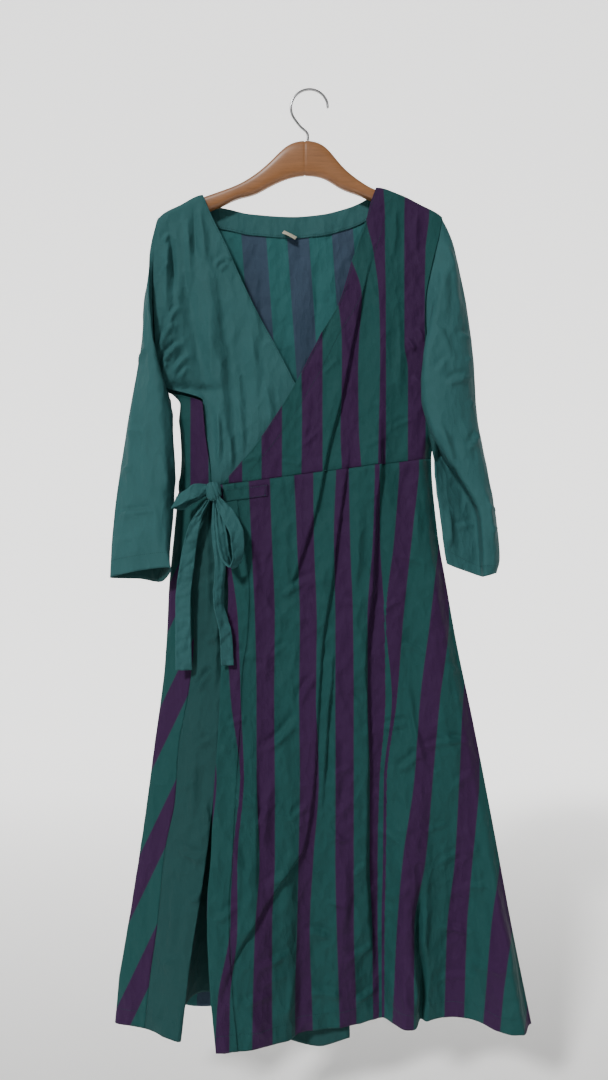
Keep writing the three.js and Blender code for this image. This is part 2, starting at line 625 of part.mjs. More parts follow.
function hangerHook() {
  const centre = new THREE.Vector3(2, 0, HOOK.wire / 2 - HOOK.loop);
  const arc = steps(9, HOOK.from, HOOK.to).map((degrees) => {
    const angle = THREE.MathUtils.degToRad(degrees);
    return new THREE.Vector3(Math.cos(angle), 0, Math.sin(angle)).multiplyScalar(HOOK.loop).add(centre);
  });
  const stem = HOOK.stem.map(([x, z]) => new THREE.Vector3(x, 0, z));
  const route = new THREE.CatmullRomCurve3([...arc, ...stem], false, "centripetal");
  const positions = [];
  const faces = [];
  for (const share of steps(HOOK.steps)) {
    const point = route.getPointAt(share);
    const along = share === 1 ? new THREE.Vector3(0, 0, -1) : route.getTangentAt(share);
    const outwards = new THREE.Vector3(0, 1, 0).cross(along).normalize();
    for (let i = 0; i < HOOK.sides; i += 1) {
      const angle = (i / HOOK.sides) * Math.PI * 2;
      const corner = point.clone().addScaledVector(outwards, (Math.cos(angle) * HOOK.wire) / 2);
      positions.push(corner.x, corner.y + (Math.sin(angle) * HOOK.wire) / 2, corner.z);
    }
  }
  for (let ring = 0; ring < HOOK.steps; ring += 1) {
    for (let i = 0; i < HOOK.sides; i += 1) {
      const [a, b] = [ring * HOOK.sides + i, ring * HOOK.sides + ((i + 1) % HOOK.sides)];
      faces.push(a, b, b + HOOK.sides, a, b + HOOK.sides, a + HOOK.sides);
    }
  }
  for (let i = 1; i < HOOK.sides - 1; i += 1) {
    const end = HOOK.steps * HOOK.sides;
    faces.push(0, i + 1, i, end, end + i, end + i + 1);
  }
  return closedMesh("hanger_hook", positions, faces, COLOURS.steel, 0.3, 0.9);
}

// Facing inside the back neck, and the blank label on it.
const FACING = { thick: 1.2, deep: 30, left: -112, right: 66 };
const LABEL = { thick: 1.0, x: -26, z: -193, width: 20, height: 11, tilt: 0.26 };
const facingY = (x, z) => backY(x, z) - CLOTH / 2 - SEAM / 2 - FACING.thick / 2;

function backNeckFacing() {
  const grid = gridOf([0.02, 0.5, 1], steps(14, FACING.left, FACING.right), (x, down) => {
    const z = read(backNeckLine, "x", "z", x) - down * FACING.deep;
    return new THREE.Vector3(x, facingY(x, z), z);
  });
  return wall("back_neck_facing", grid, COLOURS.green, FACING.thick);
}

function label() {
  const grid = gridOf(steps(2, 0.5, -0.5), steps(3, -0.5, 0.5), (across, up) => {
    const [dx, dz] = [across * LABEL.width, up * LABEL.height];
    const x = LABEL.x + dx * Math.cos(LABEL.tilt) - dz * Math.sin(LABEL.tilt);
    const z = LABEL.z + dx * Math.sin(LABEL.tilt) + dz * Math.cos(LABEL.tilt);
    return new THREE.Vector3(x, facingY(x, z) - FACING.thick / 2 - SEAM / 2 - LABEL.thick / 2, z);
  });
  return wall("neck_label", grid, COLOURS.label, LABEL.thick);
}

// The end of the tie where it is stitched to the over panel, lying on the panel's own points.
const TIE_BASE = { left: -115, right: -54, top: -549.5, bottom: -565, x: -85 };

function tieBase() {
  const lift = CLOTH / 2 + SEAM + STRAP / 2;
  const columns = steps(5, TIE_BASE.left, TIE_BASE.right);
  const grid = gridOf(steps(2, TIE_BASE.top, TIE_BASE.bottom), columns, (x, level) => {
    const z = level + WAIST.slope * (x - TIE_BASE.x);
    return new THREE.Vector3(x, overY(x, z) - lift, z);
  });
  return wall("waist_tie_base", grid, COLOURS.green, STRAP);
}

const dress = new THREE.Group();
const bodiceRows = dropRows(13);

dress.add(wall("bodice_front_over", gridOf(bodiceRows, steps(16), overBodicePoint), COLOURS.stripes));
dress.add(wall("bodice_front_under", gridOf(bodiceRows, steps(16), underBodicePoint), COLOURS.green));
dress.add(wall("bodice_back", gridOf(bodiceRows, steps(22), backBodicePoint), COLOURS.stripes));
dress.add(wall("skirt_front_over", gridOf(steps(17), steps(32), overSkirtPoint), COLOURS.stripes));
dress.add(wall("skirt_front_over_border", gridOf(steps(17), steps(2), borderPoint), COLOURS.green));
dress.add(wall("skirt_front_under", gridOf(steps(13), steps(16), underSkirtPoint), COLOURS.green));
dress.add(wall("skirt_back", gridOf(steps(13), steps(26), backSkirtPoint), COLOURS.stripes));
dress.add(sleeve("right", rightSleeve));
dress.add(sleeve("left", leftSleeve));
dress.add(backNeckFacing());
dress.add(label());
dress.add(tieBase());
dress.add(knot("waist_tie_knot", new THREE.Vector3(-126, -37.9, -555), new THREE.Vector3(18, 13, 22)));
for (const [name, route] of Object.entries(bowStraps)) dress.add(strap(name, route, STRAP_STEPS));
dress.add(hangerBody());
dress.add(hangerHook());

export default dress;
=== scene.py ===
"""A wrap dress on a wooden hanger: the cloth, its seams and its bow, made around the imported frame.

Tables and sizes are in millimetres, in the frame's own axes: x to the viewer's right, y to the back
and z up, with the origin under the crown of the hook. Meshes are made in metres.
"""
import math

import bpy
import numpy as np
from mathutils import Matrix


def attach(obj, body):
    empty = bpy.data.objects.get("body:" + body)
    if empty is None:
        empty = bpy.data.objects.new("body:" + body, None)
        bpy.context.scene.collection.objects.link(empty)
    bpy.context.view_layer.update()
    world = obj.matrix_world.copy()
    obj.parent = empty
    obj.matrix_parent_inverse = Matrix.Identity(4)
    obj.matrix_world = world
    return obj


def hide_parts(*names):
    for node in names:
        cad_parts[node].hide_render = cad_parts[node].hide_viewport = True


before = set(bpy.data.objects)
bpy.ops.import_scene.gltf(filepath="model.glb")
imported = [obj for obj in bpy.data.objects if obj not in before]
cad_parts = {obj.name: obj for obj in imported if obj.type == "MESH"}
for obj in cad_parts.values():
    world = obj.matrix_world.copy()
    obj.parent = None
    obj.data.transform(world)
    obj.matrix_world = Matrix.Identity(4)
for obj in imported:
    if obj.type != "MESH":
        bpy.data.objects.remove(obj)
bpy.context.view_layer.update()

MM = 0.001

# The photograph's eye point, and the plane y = 0 that its picture is measured on.
EYE = {"x": -5.5, "y": -1150.0, "z": -620.0}
HALF_FRAME = 745.2
SENSOR = 36.0

# Cloth and making-up.
CLOTH = 0.9
SEAM = 0.16
HEM_Z = -1287.0
HEM_DEEP = 24.0
SHOULDER_ROUND = 9.5
TOP_RISE = 0.012
SIDE_TURN = 18.0
SIDE_HALF_GAP = 0.55
SEAM_FADE = 25.0
UNDERARM_DROP = 4.0
UNDER_FADE = 24.0
SIDE_FOLD_Y = 3.0
ARMHOLE_BACK = {"edge_y": 8.0, "inset": 12.0, "y": 10.0}
ARMHOLE_CLOSE = 0.12
BORDER = 28.0
BORDER_PROUD = 0.5
FACING_STITCH = 27.0
NECK = {"left": -143.0, "right": 95.0, "blend": 8.0}
WAIST = {"x": 168.0, "z": -508.0, "slope": 0.1323}
UNDERARM = {"left": -405.0, "right": -420.0}
TIP = {"left": (-205.0, -177.0), "right": (184.0, -176.0)}
HEM_SWING = {"top": -880.0, "tall": 380.0, "ease": 0.8}
BACK_SIDES = {"fold_inset": 24.0, "seam_inset": 22.0, "flatten": 0.85}

# The stripes of the cloth: a purple one and a green one in each repeat.
REPEAT = 58.0
PURPLE = 25.0


def table(names, rows):
    """A short table: its column names in one string, then its rows."""
    return dict(zip(names.split(), np.array(rows, float).T))


def curve(places, values, at):
    """Smooth curve through (places, values) that never overshoots, read at any array of places.

    Cubic Hermite pieces; the slope at a point is the harmonic mean of the rises beside it, or 0 at a
    peak. Values may hold one row of points for each place."""
    places = np.asarray(places, float)
    at = np.clip(np.asarray(at, float), places[0], places[-1])
    values = np.asarray(values, float)
    if values.ndim == 1:
        values = values.reshape(-1, *([1] * at.ndim))
    at = np.broadcast_to(at, np.broadcast_shapes(at.shape, values.shape[1:]))
    values = np.broadcast_to(values, (len(places), *at.shape))
    gaps = np.diff(places).reshape(-1, *([1] * at.ndim))
    rise = np.diff(values, axis=0) / gaps
    same_way = rise[:-1] * rise[1:] > 0
    mean = 2 * rise[:-1] * rise[1:] / np.where(same_way, rise[:-1] + rise[1:], 1)
    slope = np.concatenate([rise[:1], np.where(same_way, mean, 0), rise[-1:]])
    i = np.clip(np.searchsorted(places, at, side="right") - 1, 0, len(places) - 2)
    width = places[i + 1] - places[i]
    t = (at - places[i]) / width

    def pick(rows, index):
        return np.take_along_axis(rows, index[None], axis=0)[0]

    low, high = pick(values, i), pick(values, i + 1)
    bend = pick(slope, i) * t * (1 - t) ** 2 + pick(slope, i + 1) * t * t * (t - 1)
    return low + (high - low) * t * t * (3 - 2 * t) + bend * width


def read(rows, key, column, at):
    """One column of a table, read along a smooth curve at places in its key column."""
    order = np.argsort(rows[key])
    return curve(rows[key][order], rows[column][order], at)


def lerp(a, b, share):
    return a + (b - a) * share


def smooth(share):
    """0 below 0, 1 above 1, and an S-curve between."""
    t = np.clip(share, 0.0, 1.0)
    return t * t * (3 - 2 * t)


def bump(distance, width):
    """A bell 1 high over a line, from the distance to it."""
    return np.exp(-((distance / width) ** 2))


def spline(controls, share, closed=False):
    """Centripetal Catmull-Rom curves: one for each grid place, through controls of (points, *grid, 3),
    read at a share of its length in points that may differ from place to place.

    Between two controls the curve leaves and arrives along slopes that weigh the neighbours by the
    square root of their distances, so it neither loops nor overshoots."""
    if closed:
        ends = np.concatenate([controls[-1:], controls, controls[:2]])
        spans = len(controls)
    else:
        before = 2 * controls[:1] - controls[1:2]
        after = 2 * controls[-1:] - controls[-2:-1]
        ends = np.concatenate([before, controls, after])
        spans = len(controls) - 1
    grid = np.broadcast_shapes(controls.shape[1:-1], np.shape(share))
    ends = np.broadcast_to(ends, (len(ends), *grid, 3))
    place = np.broadcast_to(np.asarray(share, float) * spans, grid)
    i = np.clip(np.floor(place).astype(int), 0, spans - 1)
    t = (place - i)[..., None]
    p0, p1, p2, p3 = (np.take_along_axis(ends, (i + step)[None, ..., None], axis=0)[0] for step in range(4))

    def root(a, b):
        return np.maximum(np.sqrt(np.linalg.norm(b - a, axis=-1, keepdims=True)), 1e-4)

    d0, d1, d2 = root(p0, p1), root(p1, p2), root(p2, p3)
    leave = ((p1 - p0) / d0 - (p2 - p0) / (d0 + d1) + (p2 - p1) / d1) * d1
    arrive = ((p2 - p1) / d1 - (p3 - p1) / (d1 + d2) + (p3 - p2) / d2) * d1
    return (p1 + leave * t + (3 * (p2 - p1) - 2 * leave - arrive) * t * t
            + (2 * (p1 - p2) + leave + arrive) * t ** 3)


def xyz(x, y, z):
    return np.stack(np.broadcast_arrays(x, y, z), axis=-1).astype(float)


# Outlines of the pieces, as seen from the front.
WRAP_EDGE = table("z x", [
    [-135, 94], [-161, 85], [-181, 80], [-239, 60], [-296, 43], [-342, 17], [-408, -17], [-484, -65],
    [-548, -118],
])
UNDER_NECK_EDGE = table("z x", [
    [-145, -145], [-174, -133], [-221, -110], [-262, -92], [-314, -67], [-361, -41], [-406, -18],
    [-530, 49],
])
SKIRT_FREE_EDGE = table("z x", [
    [-548, -127], [-620, -116], [-687, -107], [-753, -110], [-793, -116], [-868, -119], [-964, -125],
    [-1042, -128], [-1093, -132], [-1202, -128], [-1287, -120],
])
RIGHT_SIDE = table("z x", [
    [-420, 183], [-470, 177], [-508, 170], [-606, 178], [-684, 191], [-758, 204], [-868, 227],
    [-1007, 254], [-1159, 282], [-1287, 308],
])
LEFT_FOLD = table("z x", [
    [-425, -176], [-500, -176], [-592, -183], [-675, -191], [-786, -197], [-897, -211], [-1008, -226],
    [-1119, -243], [-1230, -261], [-1320, -270],
])
LEFT_SEAM = table("z x y", [
    [-405, -146, -12], [-470, -140, -18], [-545, -131, -22], [-576, -140, -21], [-601, -149, -20],
    [-671, -157, -18], [-753, -155, -18], [-833, -163, -17], [-901, -176, -16], [-974, -181, -15],
    [-1044, -195, -14], [-1142, -205, -13], [-1220, -216, -12], [-1320, -226, -12],
])
LEFT_ARMHOLE = table("z x", [[-177, -205], [-210, -211], [-293, -211], [-362, -208], [-405, -203]])
RIGHT_ARMHOLE = table("z x", [
    [-176, 184], [-205, 179], [-241, 170], [-300, 160], [-345, 161], [-385, 170], [-420, 183],
])
SHOULDER_LINE = table("x z", [
    [-205, -177], [-197, -170], [-177, -160], [-145, -145], [94, -135], [127, -145], [155, -159],
    [178, -171], [184, -176],
])
BACK_NECK_LINE = table("x z", [
    [-145, -145], [-132, -154], [-108, -160], [-81, -166], [-21, -170], [17, -167], [51, -159],
    [76, -149], [94, -135],
])

# How far the cloth stands in front of the hanger's plane, in rows by height.
OVER_DEPTH = table("z edge left middle right side", [
    [-140, -11, -11, -11, -11, -11], [-200, -13, -13, -13, -12, -12], [-300, -22, -21, -19, -16, -13],
    [-400, -28, -27, -24, -18, -13], [-540, -30, -29, -27, -19, -13], [-700, -34, -32, -27, -17, -13],
    [-900, -45, -39, -28, -15, -14], [-1287, -62, -48, -28, -14, -16],
])
OVER_COLUMNS = {"edge": -120, "left": -60, "middle": 10, "right": 100, "side": 190}
HEM_WAVE = table("x y", [
    [-130, -68], [-80, -62], [-45, -46], [-25, -37], [-11, -22], [17, -15], [50, -9], [70, -1],
    [104, 14], [118, -2], [133, -18], [154, -11], [172, 7], [200, 15], [222, 13], [237, 3],
    [258, -19], [279, -28], [308, -24],
])
UNDER_DEPTH = table("z side middle edge", [
    [-145, -11, -11, -11], [-200, -12, -13, -13], [-300, -14, -15, -17], [-400, -14, -16, -18],
    [-545, -21, -19, -14],
])
BACK_DEPTH = table("z y", [[-140, 11], [-540, 13], [-900, 20], [-1287, 30]])

# The folds that shape each panel, from top to bottom: a lip, a valley or a ridge along a line.
OVER_FOLDS = [
    ("lip", 24, 5.2, table("z x", [
        [-215, 91], [-258, 79], [-338, 62], [-424, 45], [-498, 26], [-566, 13], [-646, -11], [-715, -34]])),
    ("lip", 20, 5.2, table("z x", [
        [-470, 59], [-541, 49], [-620, 38], [-674, 32], [-754, 19], [-835, 13], [-943, 7], [-1036, -7],
        [-1062, -27], [-1118, -67], [-1171, -99], [-1236, -120]])),
    ("lip", 36, 9, table("z x", [
        [-440, 98], [-515, 97], [-579, 91], [-674, 87], [-783, 77], [-891, 80], [-1056, 79],
        [-1227, 90]])),
    ("valley", 6, -20, table("z x", [[-1066, 157], [-1110, 154], [-1170, 151], [-1225, 158], [-1300, 156]])),
    ("lip", 14, 5, table("z x", [[-735, 36], [-800, 32], [-850, 27], [-925, 22], [-1010, 17]])),
    ("ridge", 14, 4, table("z x", [
        [-180, 103], [-292, 102], [-402, 99], [-511, 95], [-552, 111], [-838, 119]])),
    ("lip", 20, 5, table("z x", [[-890, -69], [-1000, -69], [-1112, -68]])),
    ("ridge", 22, 5, table("z x", [[-560, 150], [-760, 170], [-1000, 196]])),
]
UNDER_FOLDS = [
    ("valley", 9, -6, table("z x", [
        [-176, -179], [-254, -169], [-347, -154], [-416, -141], [-538, -124]])),
    ("ridge", 12, 6, table("z x", [
        [-210, -148], [-282, -135], [-353, -126], [-430, -118], [-529, -112]])),
    ("valley", 8, -4, table("z x", [
        [-226, -131], [-282, -120], [-353, -111], [-430, -104], [-529, -98]])),
    ("valley", 8, -4, table("z x", [[-308, -98], [-402, -88], [-495, -73]])),
    ("ridge", 16, 5, table("z x", [[-300, -197], [-350, -188], [-398, -176]])),
]
BACK_FOLDS = [
    ("ridge", 34, -9, table("z x", [[-560, -90], [-900, -110], [-1300, -130]])),
    ("valley", 26, 6, table("z x", [[-590, -20], [-900, -28], [-1300, -40]])),
    ("ridge", 36, -9, table("z x", [[-540, 60], [-900, 70], [-1300, 78]])),
    ("ridge", 30, -7, table("z x", [[-620, 130], [-900, 165], [-1300, 205]])),
]
FOLD_FADE = 95.0
CREASE_NARROWER = 0.85
CREASE_HIGHER = 3.0

# Creases, listed one by one: from one end to the other in (x, z), how far the middle bows out, and then the
# half width, the height (below 0 for a trough) and how much of a dent lies beside it.
CREASE_COLUMNS = "x0 z0 x1 z1 bow width high dent"
OVER_SKIRT_CREASES = table(CREASE_COLUMNS, [
    [-40, -700, 14, -668, 3, 5, 1.6, 0.8], [-66, -905, -8, -846, -8, 6, 2.0, 0.9],
    [-12, -846, 16, -798, 4, 5, 1.8, 0.8], [-70, -1004, -36, -962, 3, 5, 1.2, 0.6],
    [-108, -868, -80, -856, 2, 4, 1.2, 0.7], [-104, -955, -70, -975, 2, 4, 1.0, 0.6],
    [-120, -1120, -84, -1098, 3, 5, 1.4, 0.6], [-70, -1180, -20, -1168, -4, 5, 1.2, 0.7],
    [-10, -1150, 34, -1164, 3, 5, 1.4, 0.8], [20, -1110, 60, -1120, 2, 4, 1.0, 0.5],
    [-60, -1085, -16, -1062, 4, 6, 1.4, 0.7], [50, -1200, 92, -1180, 3, 5, 1.3, 0.7],
    [60, -1080, 84, -1058, 2, 4, 1.1, 0.6], [98, -880, 140, -872, 3, 5, 1.6, 0.9],
    [118, -938, 158, -900, -4, 5, 1.5, 0.8], [136, -812, 168, -950, -6, 5, 1.7, 0.7],
    [150, -905, 214, -892, 3, 4, 1.4, 0.8], [176, -884, 228, -896, -3, 4, 1.2, 0.7],
    [186, -790, 214, -806, 2, 4, 1.2, 0.6], [128, -760, 158, -776, 2, 4, 1.3, 0.6],
    [196, -960, 232, -936, 3, 5, 1.2, 0.6], [176, -1070, 214, -1048, 2, 5, 1.1, 0.5],
    [180, -1158, 226, -1170, 3, 5, 1.3, 0.7], [208, -1106, 250, -1092, 2, 5, 1.1, 0.6],
    [226, -1210, 276, -1194, -3, 6, 1.3, 0.6], [160, -1020, 196, -1010, 2, 4, 1.0, 0.5],
    [110, -1120, 140, -1094, 3, 5, 1.4, 0.8], [96, -1020, 128, -1036, 2, 5, 1.2, 0.6],
    [88, -960, 110, -990, 2, 4, 1.0, 0.6], [30, -940, 64, -925, 2, 5, 1.1, 0.5],
    [24, -1010, 58, -1030, -3, 5, 1.1, 0.6], [-26, -1000, 4, -975, 3, 5, 1.2, 0.5],
    [-52, -780, -24, -760, 2, 4, 0.9, 0.5], [-100, -770, -60, -782, 2, 4, 0.9, 0.5],
    [40, -700, 74, -712, 2, 4, 0.9, 0.4], [46, -820, 70, -842, 2, 4, 1.0, 0.5],
    [120, -640, 160, -655, 2, 4, 0.9, 0.4], [100, -720, 128, -700, 2, 4, 1.0, 0.5],
    [-90, -1230, -40, -1222, 3, 6, 1.4, 0.6], [0, -1236, 52, -1246, 3, 6, 1.4, 0.7],
    [60, -1256, 100, -1240, -3, 5, 1.6, 0.8], [176, -1236, 236, -1226, 3, 6, 1.2, 0.6],
    [136, -1190, 150, -1262, 4, 6, 2.2, 0.8], [112, -1200, 126, -1276, -4, 6, 2.0, 0.8],
    [-78, -620, -70, -720, 3, 7, 1.2, 0.4], [-30, -590, -24, -700, -3, 7, 1.0, 0.4],
    [66, -560, 62, -700, 4, 8, 1.6, 0.5], [140, -545, 150, -640, 3, 8, 1.4, 0.4],
    [-96, -1010, -94, -1110, 3, 6, 1.2, 0.6], [-46, -930, -60, -1040, -3, 7, 1.4, 0.6],
    [30, -860, 34, -1000, 4, 8, 1.4, 0.5], [48, -1040, 46, -1180, 3, 8, 1.6, 0.6],
    [214, -1000, 240, -1130, 4, 8, 1.5, 0.5], [104, -1050, 100, -1200, 3, 7, 1.6, 0.6],
    [-20, -1190, -30, -1270, 3, 7, 1.6, 0.6], [262, -1130, 288, -1250, 3, 8, 1.4, 0.5],
])
OVER_BODICE_CREASES = table(CREASE_COLUMNS, [
    [24, -310, 12, -352, 2, 4, 1.2, 0.6], [34, -290, 22, -330, 2, 3.5, 1.0, 0.6],
    [6, -350, -8, -384, 2, 4, 1.1, 0.6], [-18, -390, -40, -424, 2, 4, 1.1, 0.6],
    [-44, -430, -62, -452, 2, 4, 1.0, 0.6], [-66, -458, -84, -490, 2, 4, 1.2, 0.7],
    [-84, -492, -100, -512, 2, 4, 1.0, 0.6], [-96, -520, -60, -505, 2, 4, 1.0, 0.5],
    [20, -400, 44, -375, 2, 4, 0.8, 0.4], [36, -300, 58, -270, 2, 4, 1.0, 0.5],
    [118, -160, 116, -240, 2, 6, 1.2, 0.4], [150, -170, 148, -230, -2, 6, 1.0, 0.4],
    [132, -345, 146, -365, 2, 4, 1.2, 0.6], [140, -395, 160, -420, 2, 5, 1.2, 0.6],
    [146, -330, 158, -350, 2, 4, 1.0, 0.5], [112, -470, 150, -455, 2, 4, 0.8, 0.4],
    [70, -500, 110, -480, 2, 4, 0.8, 0.4], [-20, -500, 16, -470, -3, 5, 1.0, 0.4],
    [-40, -515, -6, -520, 2, 4, 0.8, 0.4], [84, -250, 90, -350, 2, 7, 1.0, 0.3],
    [120, -280, 124, -430, 3, 7, 0.9, 0.3], [0, -420, -10, -500, 3, 7, 1.0, 0.3],
])
UNDER_BODICE_CREASES = table(CREASE_COLUMNS, [
    [-204, -366, -180, -322, 3, 5, 2.4, 0.9], [-203, -389, -168, -350, 4, 5, 2.6, 1.0],
    [-199, -396, -190, -378, 2, 3.5, 1.6, 0.8], [-196, -340, -172, -300, 3, 5, 1.6, 0.7],
    [-184, -398, -158, -366, 3, 5, 1.8, 0.8], [-176, -404, -160, -384, 2, 4, 1.4, 0.7],
    [-194, -178, -184, -300, 4, 7, -2.2, 0.4], [-186, -190, -190, -330, -5, 6, 1.6, 0.5],
    [-166, -170, -164, -300, 3, 7, 1.6, 0.5], [-158, -160, -156, -240, 2, 6, -1.4, 0.3],
    [-150, -165, -140, -250, 3, 6, 1.2, 0.4], [-197, -215, -186, -200, 2, 4, 1.2, 0.6],
    [-198, -262, -188, -240, 2, 4, 1.0, 0.6], [-128, -250, -112, -234, 2, 4, 1.1, 0.6],
    [-120, -256, -108, -244, 2, 3.5, 0.9, 0.6], [-116, -232, -104, -240, 2, 4, 1.0, 0.5],
    [-136, -300, -134, -420, 3, 6, 1.2, 0.4], [-80, -330, -70, -440, 3, 7, 1.2, 0.4],
    [-96, -420, -90, -510, 2, 5, 1.2, 0.5], [-124, -440, -122, -525, 2, 4, 1.4, 0.6],
    [-60, -400, -50, -480, 3, 6, 1.0, 0.4], [-108, -470, -104, -528, 2, 4, 1.2, 0.5],
    [-60, -360, -48, -350, 2, 4, 0.8, 0.5], [-76, -300, -66, -352, 2, 5, 0.9, 0.4],
])
UNDER_SKIRT_CREASES = table(CREASE_COLUMNS, [
    [-150, -830, -120, -792, 4, 4, 1.8, 0.9], [-148, -900, -126, -886, 2, 4, 1.2, 0.7],
    [-176, -1035, -138, -1044, -4, 5, 1.8, 0.9], [-158, -1108, -140, -1094, 2, 4, 1.6, 0.8],
    [-140, -760, -116, -750, 2, 4, 1.2, 0.6], [-130, -680, -114, -655, 2, 4, 1.2, 0.6],
    [-170, -960, -150, -945, 2, 4, 1.0, 0.5], [-196, -1200, -170, -1180, 3, 5, 1.2, 0.5],
    [-124, -700, -126, -830, 3, 5, 1.6, 0.6], [-138, -610, -136, -740, 3, 5, 1.4, 0.5],
    [-152, -900, -160, -1010, 3, 6, 1.2, 0.5], [-118, -600, -116, -690, 2, 4, 1.6, 0.6],
    [-180, -1070, -190, -1200, 3, 6, 1.2, 0.4], [-126, -565, -124, -640, 2, 4, 1.6, 0.5],
    [-134, -560, -142, -620, 2, 4, 1.4, 0.5], [-140, -970, -132, -1000, 2, 4, 1.0, 0.5],
])
BACK_SKIRT_CREASES = table(CREASE_COLUMNS, [
    [-120, -700, -60, -680, 4, 6, 1.8, 0.8], [-60, -760, 0, -790, -5, 6, 1.6, 0.8],
    [10, -690, 66, -712, 4, 5, 1.5, 0.7], [80, -780, 130, -756, 3, 6, 1.6, 0.8],
    [-160, -860, -100, -880, 4, 6, 1.4, 0.7], [-40, -880, 20, -862, 3, 5, 1.3, 0.6],
    [40, -920, 96, -950, -4, 6, 1.6, 0.8], [120, -880, 180, -905, 4, 6, 1.5, 0.7],
    [-190, -990, -120, -970, 4, 6, 1.6, 0.7], [-90, -1010, -30, -1040, 4, 6, 1.5, 0.7],
    [0, -1060, 56, -1040, 3, 5, 1.3, 0.6], [90, -1030, 150, -1060, -4, 6, 1.6, 0.7],
    [170, -1010, 230, -990, 3, 5, 1.3, 0.6], [-200, -1120, -140, -1150, 4, 6, 1.5, 0.7],
    [-100, -1160, -40, -1140, 3, 6, 1.4, 0.7], [10, -1180, 70, -1200, 4, 6, 1.5, 0.7],
    [110, -1150, 170, -1130, -4, 6, 1.4, 0.7], [190, -1120, 250, -1150, 4, 6, 1.4, 0.6],
    [-210, -1230, -150, -1210, 3, 6, 1.3, 0.6], [-60, -1240, 0, -1225, 3, 6, 1.3, 0.6],
    [60, -1240, 120, -1255, 3, 6, 1.4, 0.6], [180, -1220, 240, -1235, 3, 6, 1.3, 0.6],
    [-150, -560, -146, -720, 4, 8, 1.8, 0.5], [-40, -560, -46, -740, -4, 9, 1.6, 0.4],
    [20, -570, 26, -760, 4, 9, 1.8, 0.5], [100, -550, 108, -700, 4, 8, 1.6, 0.5],
    [-170, -900, -186, -1100, 5, 9, 1.8, 0.4], [110, -900, 126, -1120, 5, 10, 1.8, 0.4],
    [-70, -900, -80, -1120, -5, 9, 1.6, 0.4], [20, -940, 24, -1180, 5, 10, 1.6, 0.4],
    [200, -960, 226, -1150, 4, 9, 1.6, 0.4], [0, -620, 40, -605, 3, 5, 1.2, 0.6],
])
BACK_BODICE_CREASES = table(CREASE_COLUMNS, [
    [-190, -330, -150, -300, 4, 6, 1.8, 0.7], [-184, -380, -140, -350, 4, 6, 1.8, 0.8],
    [172, -360, 130, -330, -4, 6, 1.7, 0.8], [168, -405, 120, -380, -4, 6, 1.6, 0.7],
    [-120, -230, -112, -340, 4, 8, 1.3, 0.4], [-60, -220, -64, -360, -4, 9, 1.2, 0.3],
    [10, -230, 6, -380, 4, 9, 1.2, 0.3], [80, -240, 84, -360, 4, 8, 1.2, 0.3],
    [130, -210, 126, -320, 3, 7, 1.2, 0.4], [-100, -430, -50, -445, 3, 5, 1.3, 0.6],
    [-20, -460, 40, -448, 3, 5, 1.2, 0.6], [70, -470, 120, -485, 3, 5, 1.3, 0.6],
    [-150, -480, -100, -500, 3, 5, 1.3, 0.6], [-30, -400, 30, -412, -3, 5, 1.0, 0.5],
    [-160, -210, -156, -280, 3, 6, 1.2, 0.4], [-130, -400, -126, -530, 3, 7, 1.4, 0.4],
    [100, -420, 104, -520, 3, 7, 1.4, 0.4],
])
RIGHT_SLEEVE_CREASES = table(CREASE_COLUMNS, [
    [182, -415, 226, -400, 4, 5, 2.0, 0.9], [196, -346, 240, -352, 4, 5, 1.4, 0.7],
    [211, -502, 232, -468, -3, 4, 1.8, 0.9], [200, -606, 232, -600, 3, 4, 1.4, 0.7],
    [170, -460, 196, -530, 4, 6, 1.8, 0.6], [188, -570, 190, -640, 3, 5, 1.6, 0.5],
    [176, -240, 184, -330, 4, 8, 1.4, 0.4], [200, -240, 206, -330, -4, 9, 1.2, 0.4],
    [170, -330, 190, -380, 4, 6, 1.6, 0.6], [232, -540, 246, -640, 4, 6, 1.4, 0.5],
    [214, -440, 232, -432, 2, 4, 1.1, 0.6], [236, -575, 256, -582, 2, 4, 1.2, 0.6],
    [176, -400, 188, -376, 3, 5, 1.4, 0.6], [210, -380, 228, -374, 2, 4, 1.0, 0.5],
    [184, -215, 198, -260, 3, 6, 1.2, 0.4], [240, -610, 258, -604, 2, 4, 1.0, 0.5],
])
LEFT_SLEEVE_CREASES = table(CREASE_COLUMNS, [
    [-264, -590, -198, -580, 3, 3.5, 1.8, 0.9], [-250, -480, -214, -470, 3, 5, 1.0, 0.5],
    [-236, -380, -214, -360, 3, 5, 1.2, 0.5], [-228, -250, -222, -380, 4, 8, 1.2, 0.4],
    [-240, -420, -246, -560, 4, 10, 1.2, 0.3], [-216, -440, -212, -570, -4, 9, 1.1, 0.3],
    [-258, -530, -236, -522, 2, 4, 0.9, 0.5], [-232, -600, -234, -650, 2, 7, 0.9, 0.3],
    [-262, -622, -230, -616, 2, 4, 0.8, 0.5], [-206, -560, -200, -640, 2, 5, 1.2, 0.4],
    [-200, -500, -190, -560, 3, 6, 1.4, 0.5], [-214, -300, -206, -330, 2, 4, 1.0, 0.5],
])


LIP_DROP = 0.16


def lip(t):
    """Across a lip: it stands up on its left, drops steeply into a dent on its right, then levels out."""
    middle = lerp(1.0, -0.4, smooth(t / LIP_DROP))
    right = -0.4 * bump(t - LIP_DROP, 0.9)
    return np.where(t < 0, bump(t, 1.3), np.where(t < LIP_DROP, middle, right))


def edge(t):
    """A crease's profile: 1 at its line, with two nearly straight slopes and a narrow rounding."""
    return np.exp(1.3 * (0.3 - np.sqrt(t * t + 0.09)))


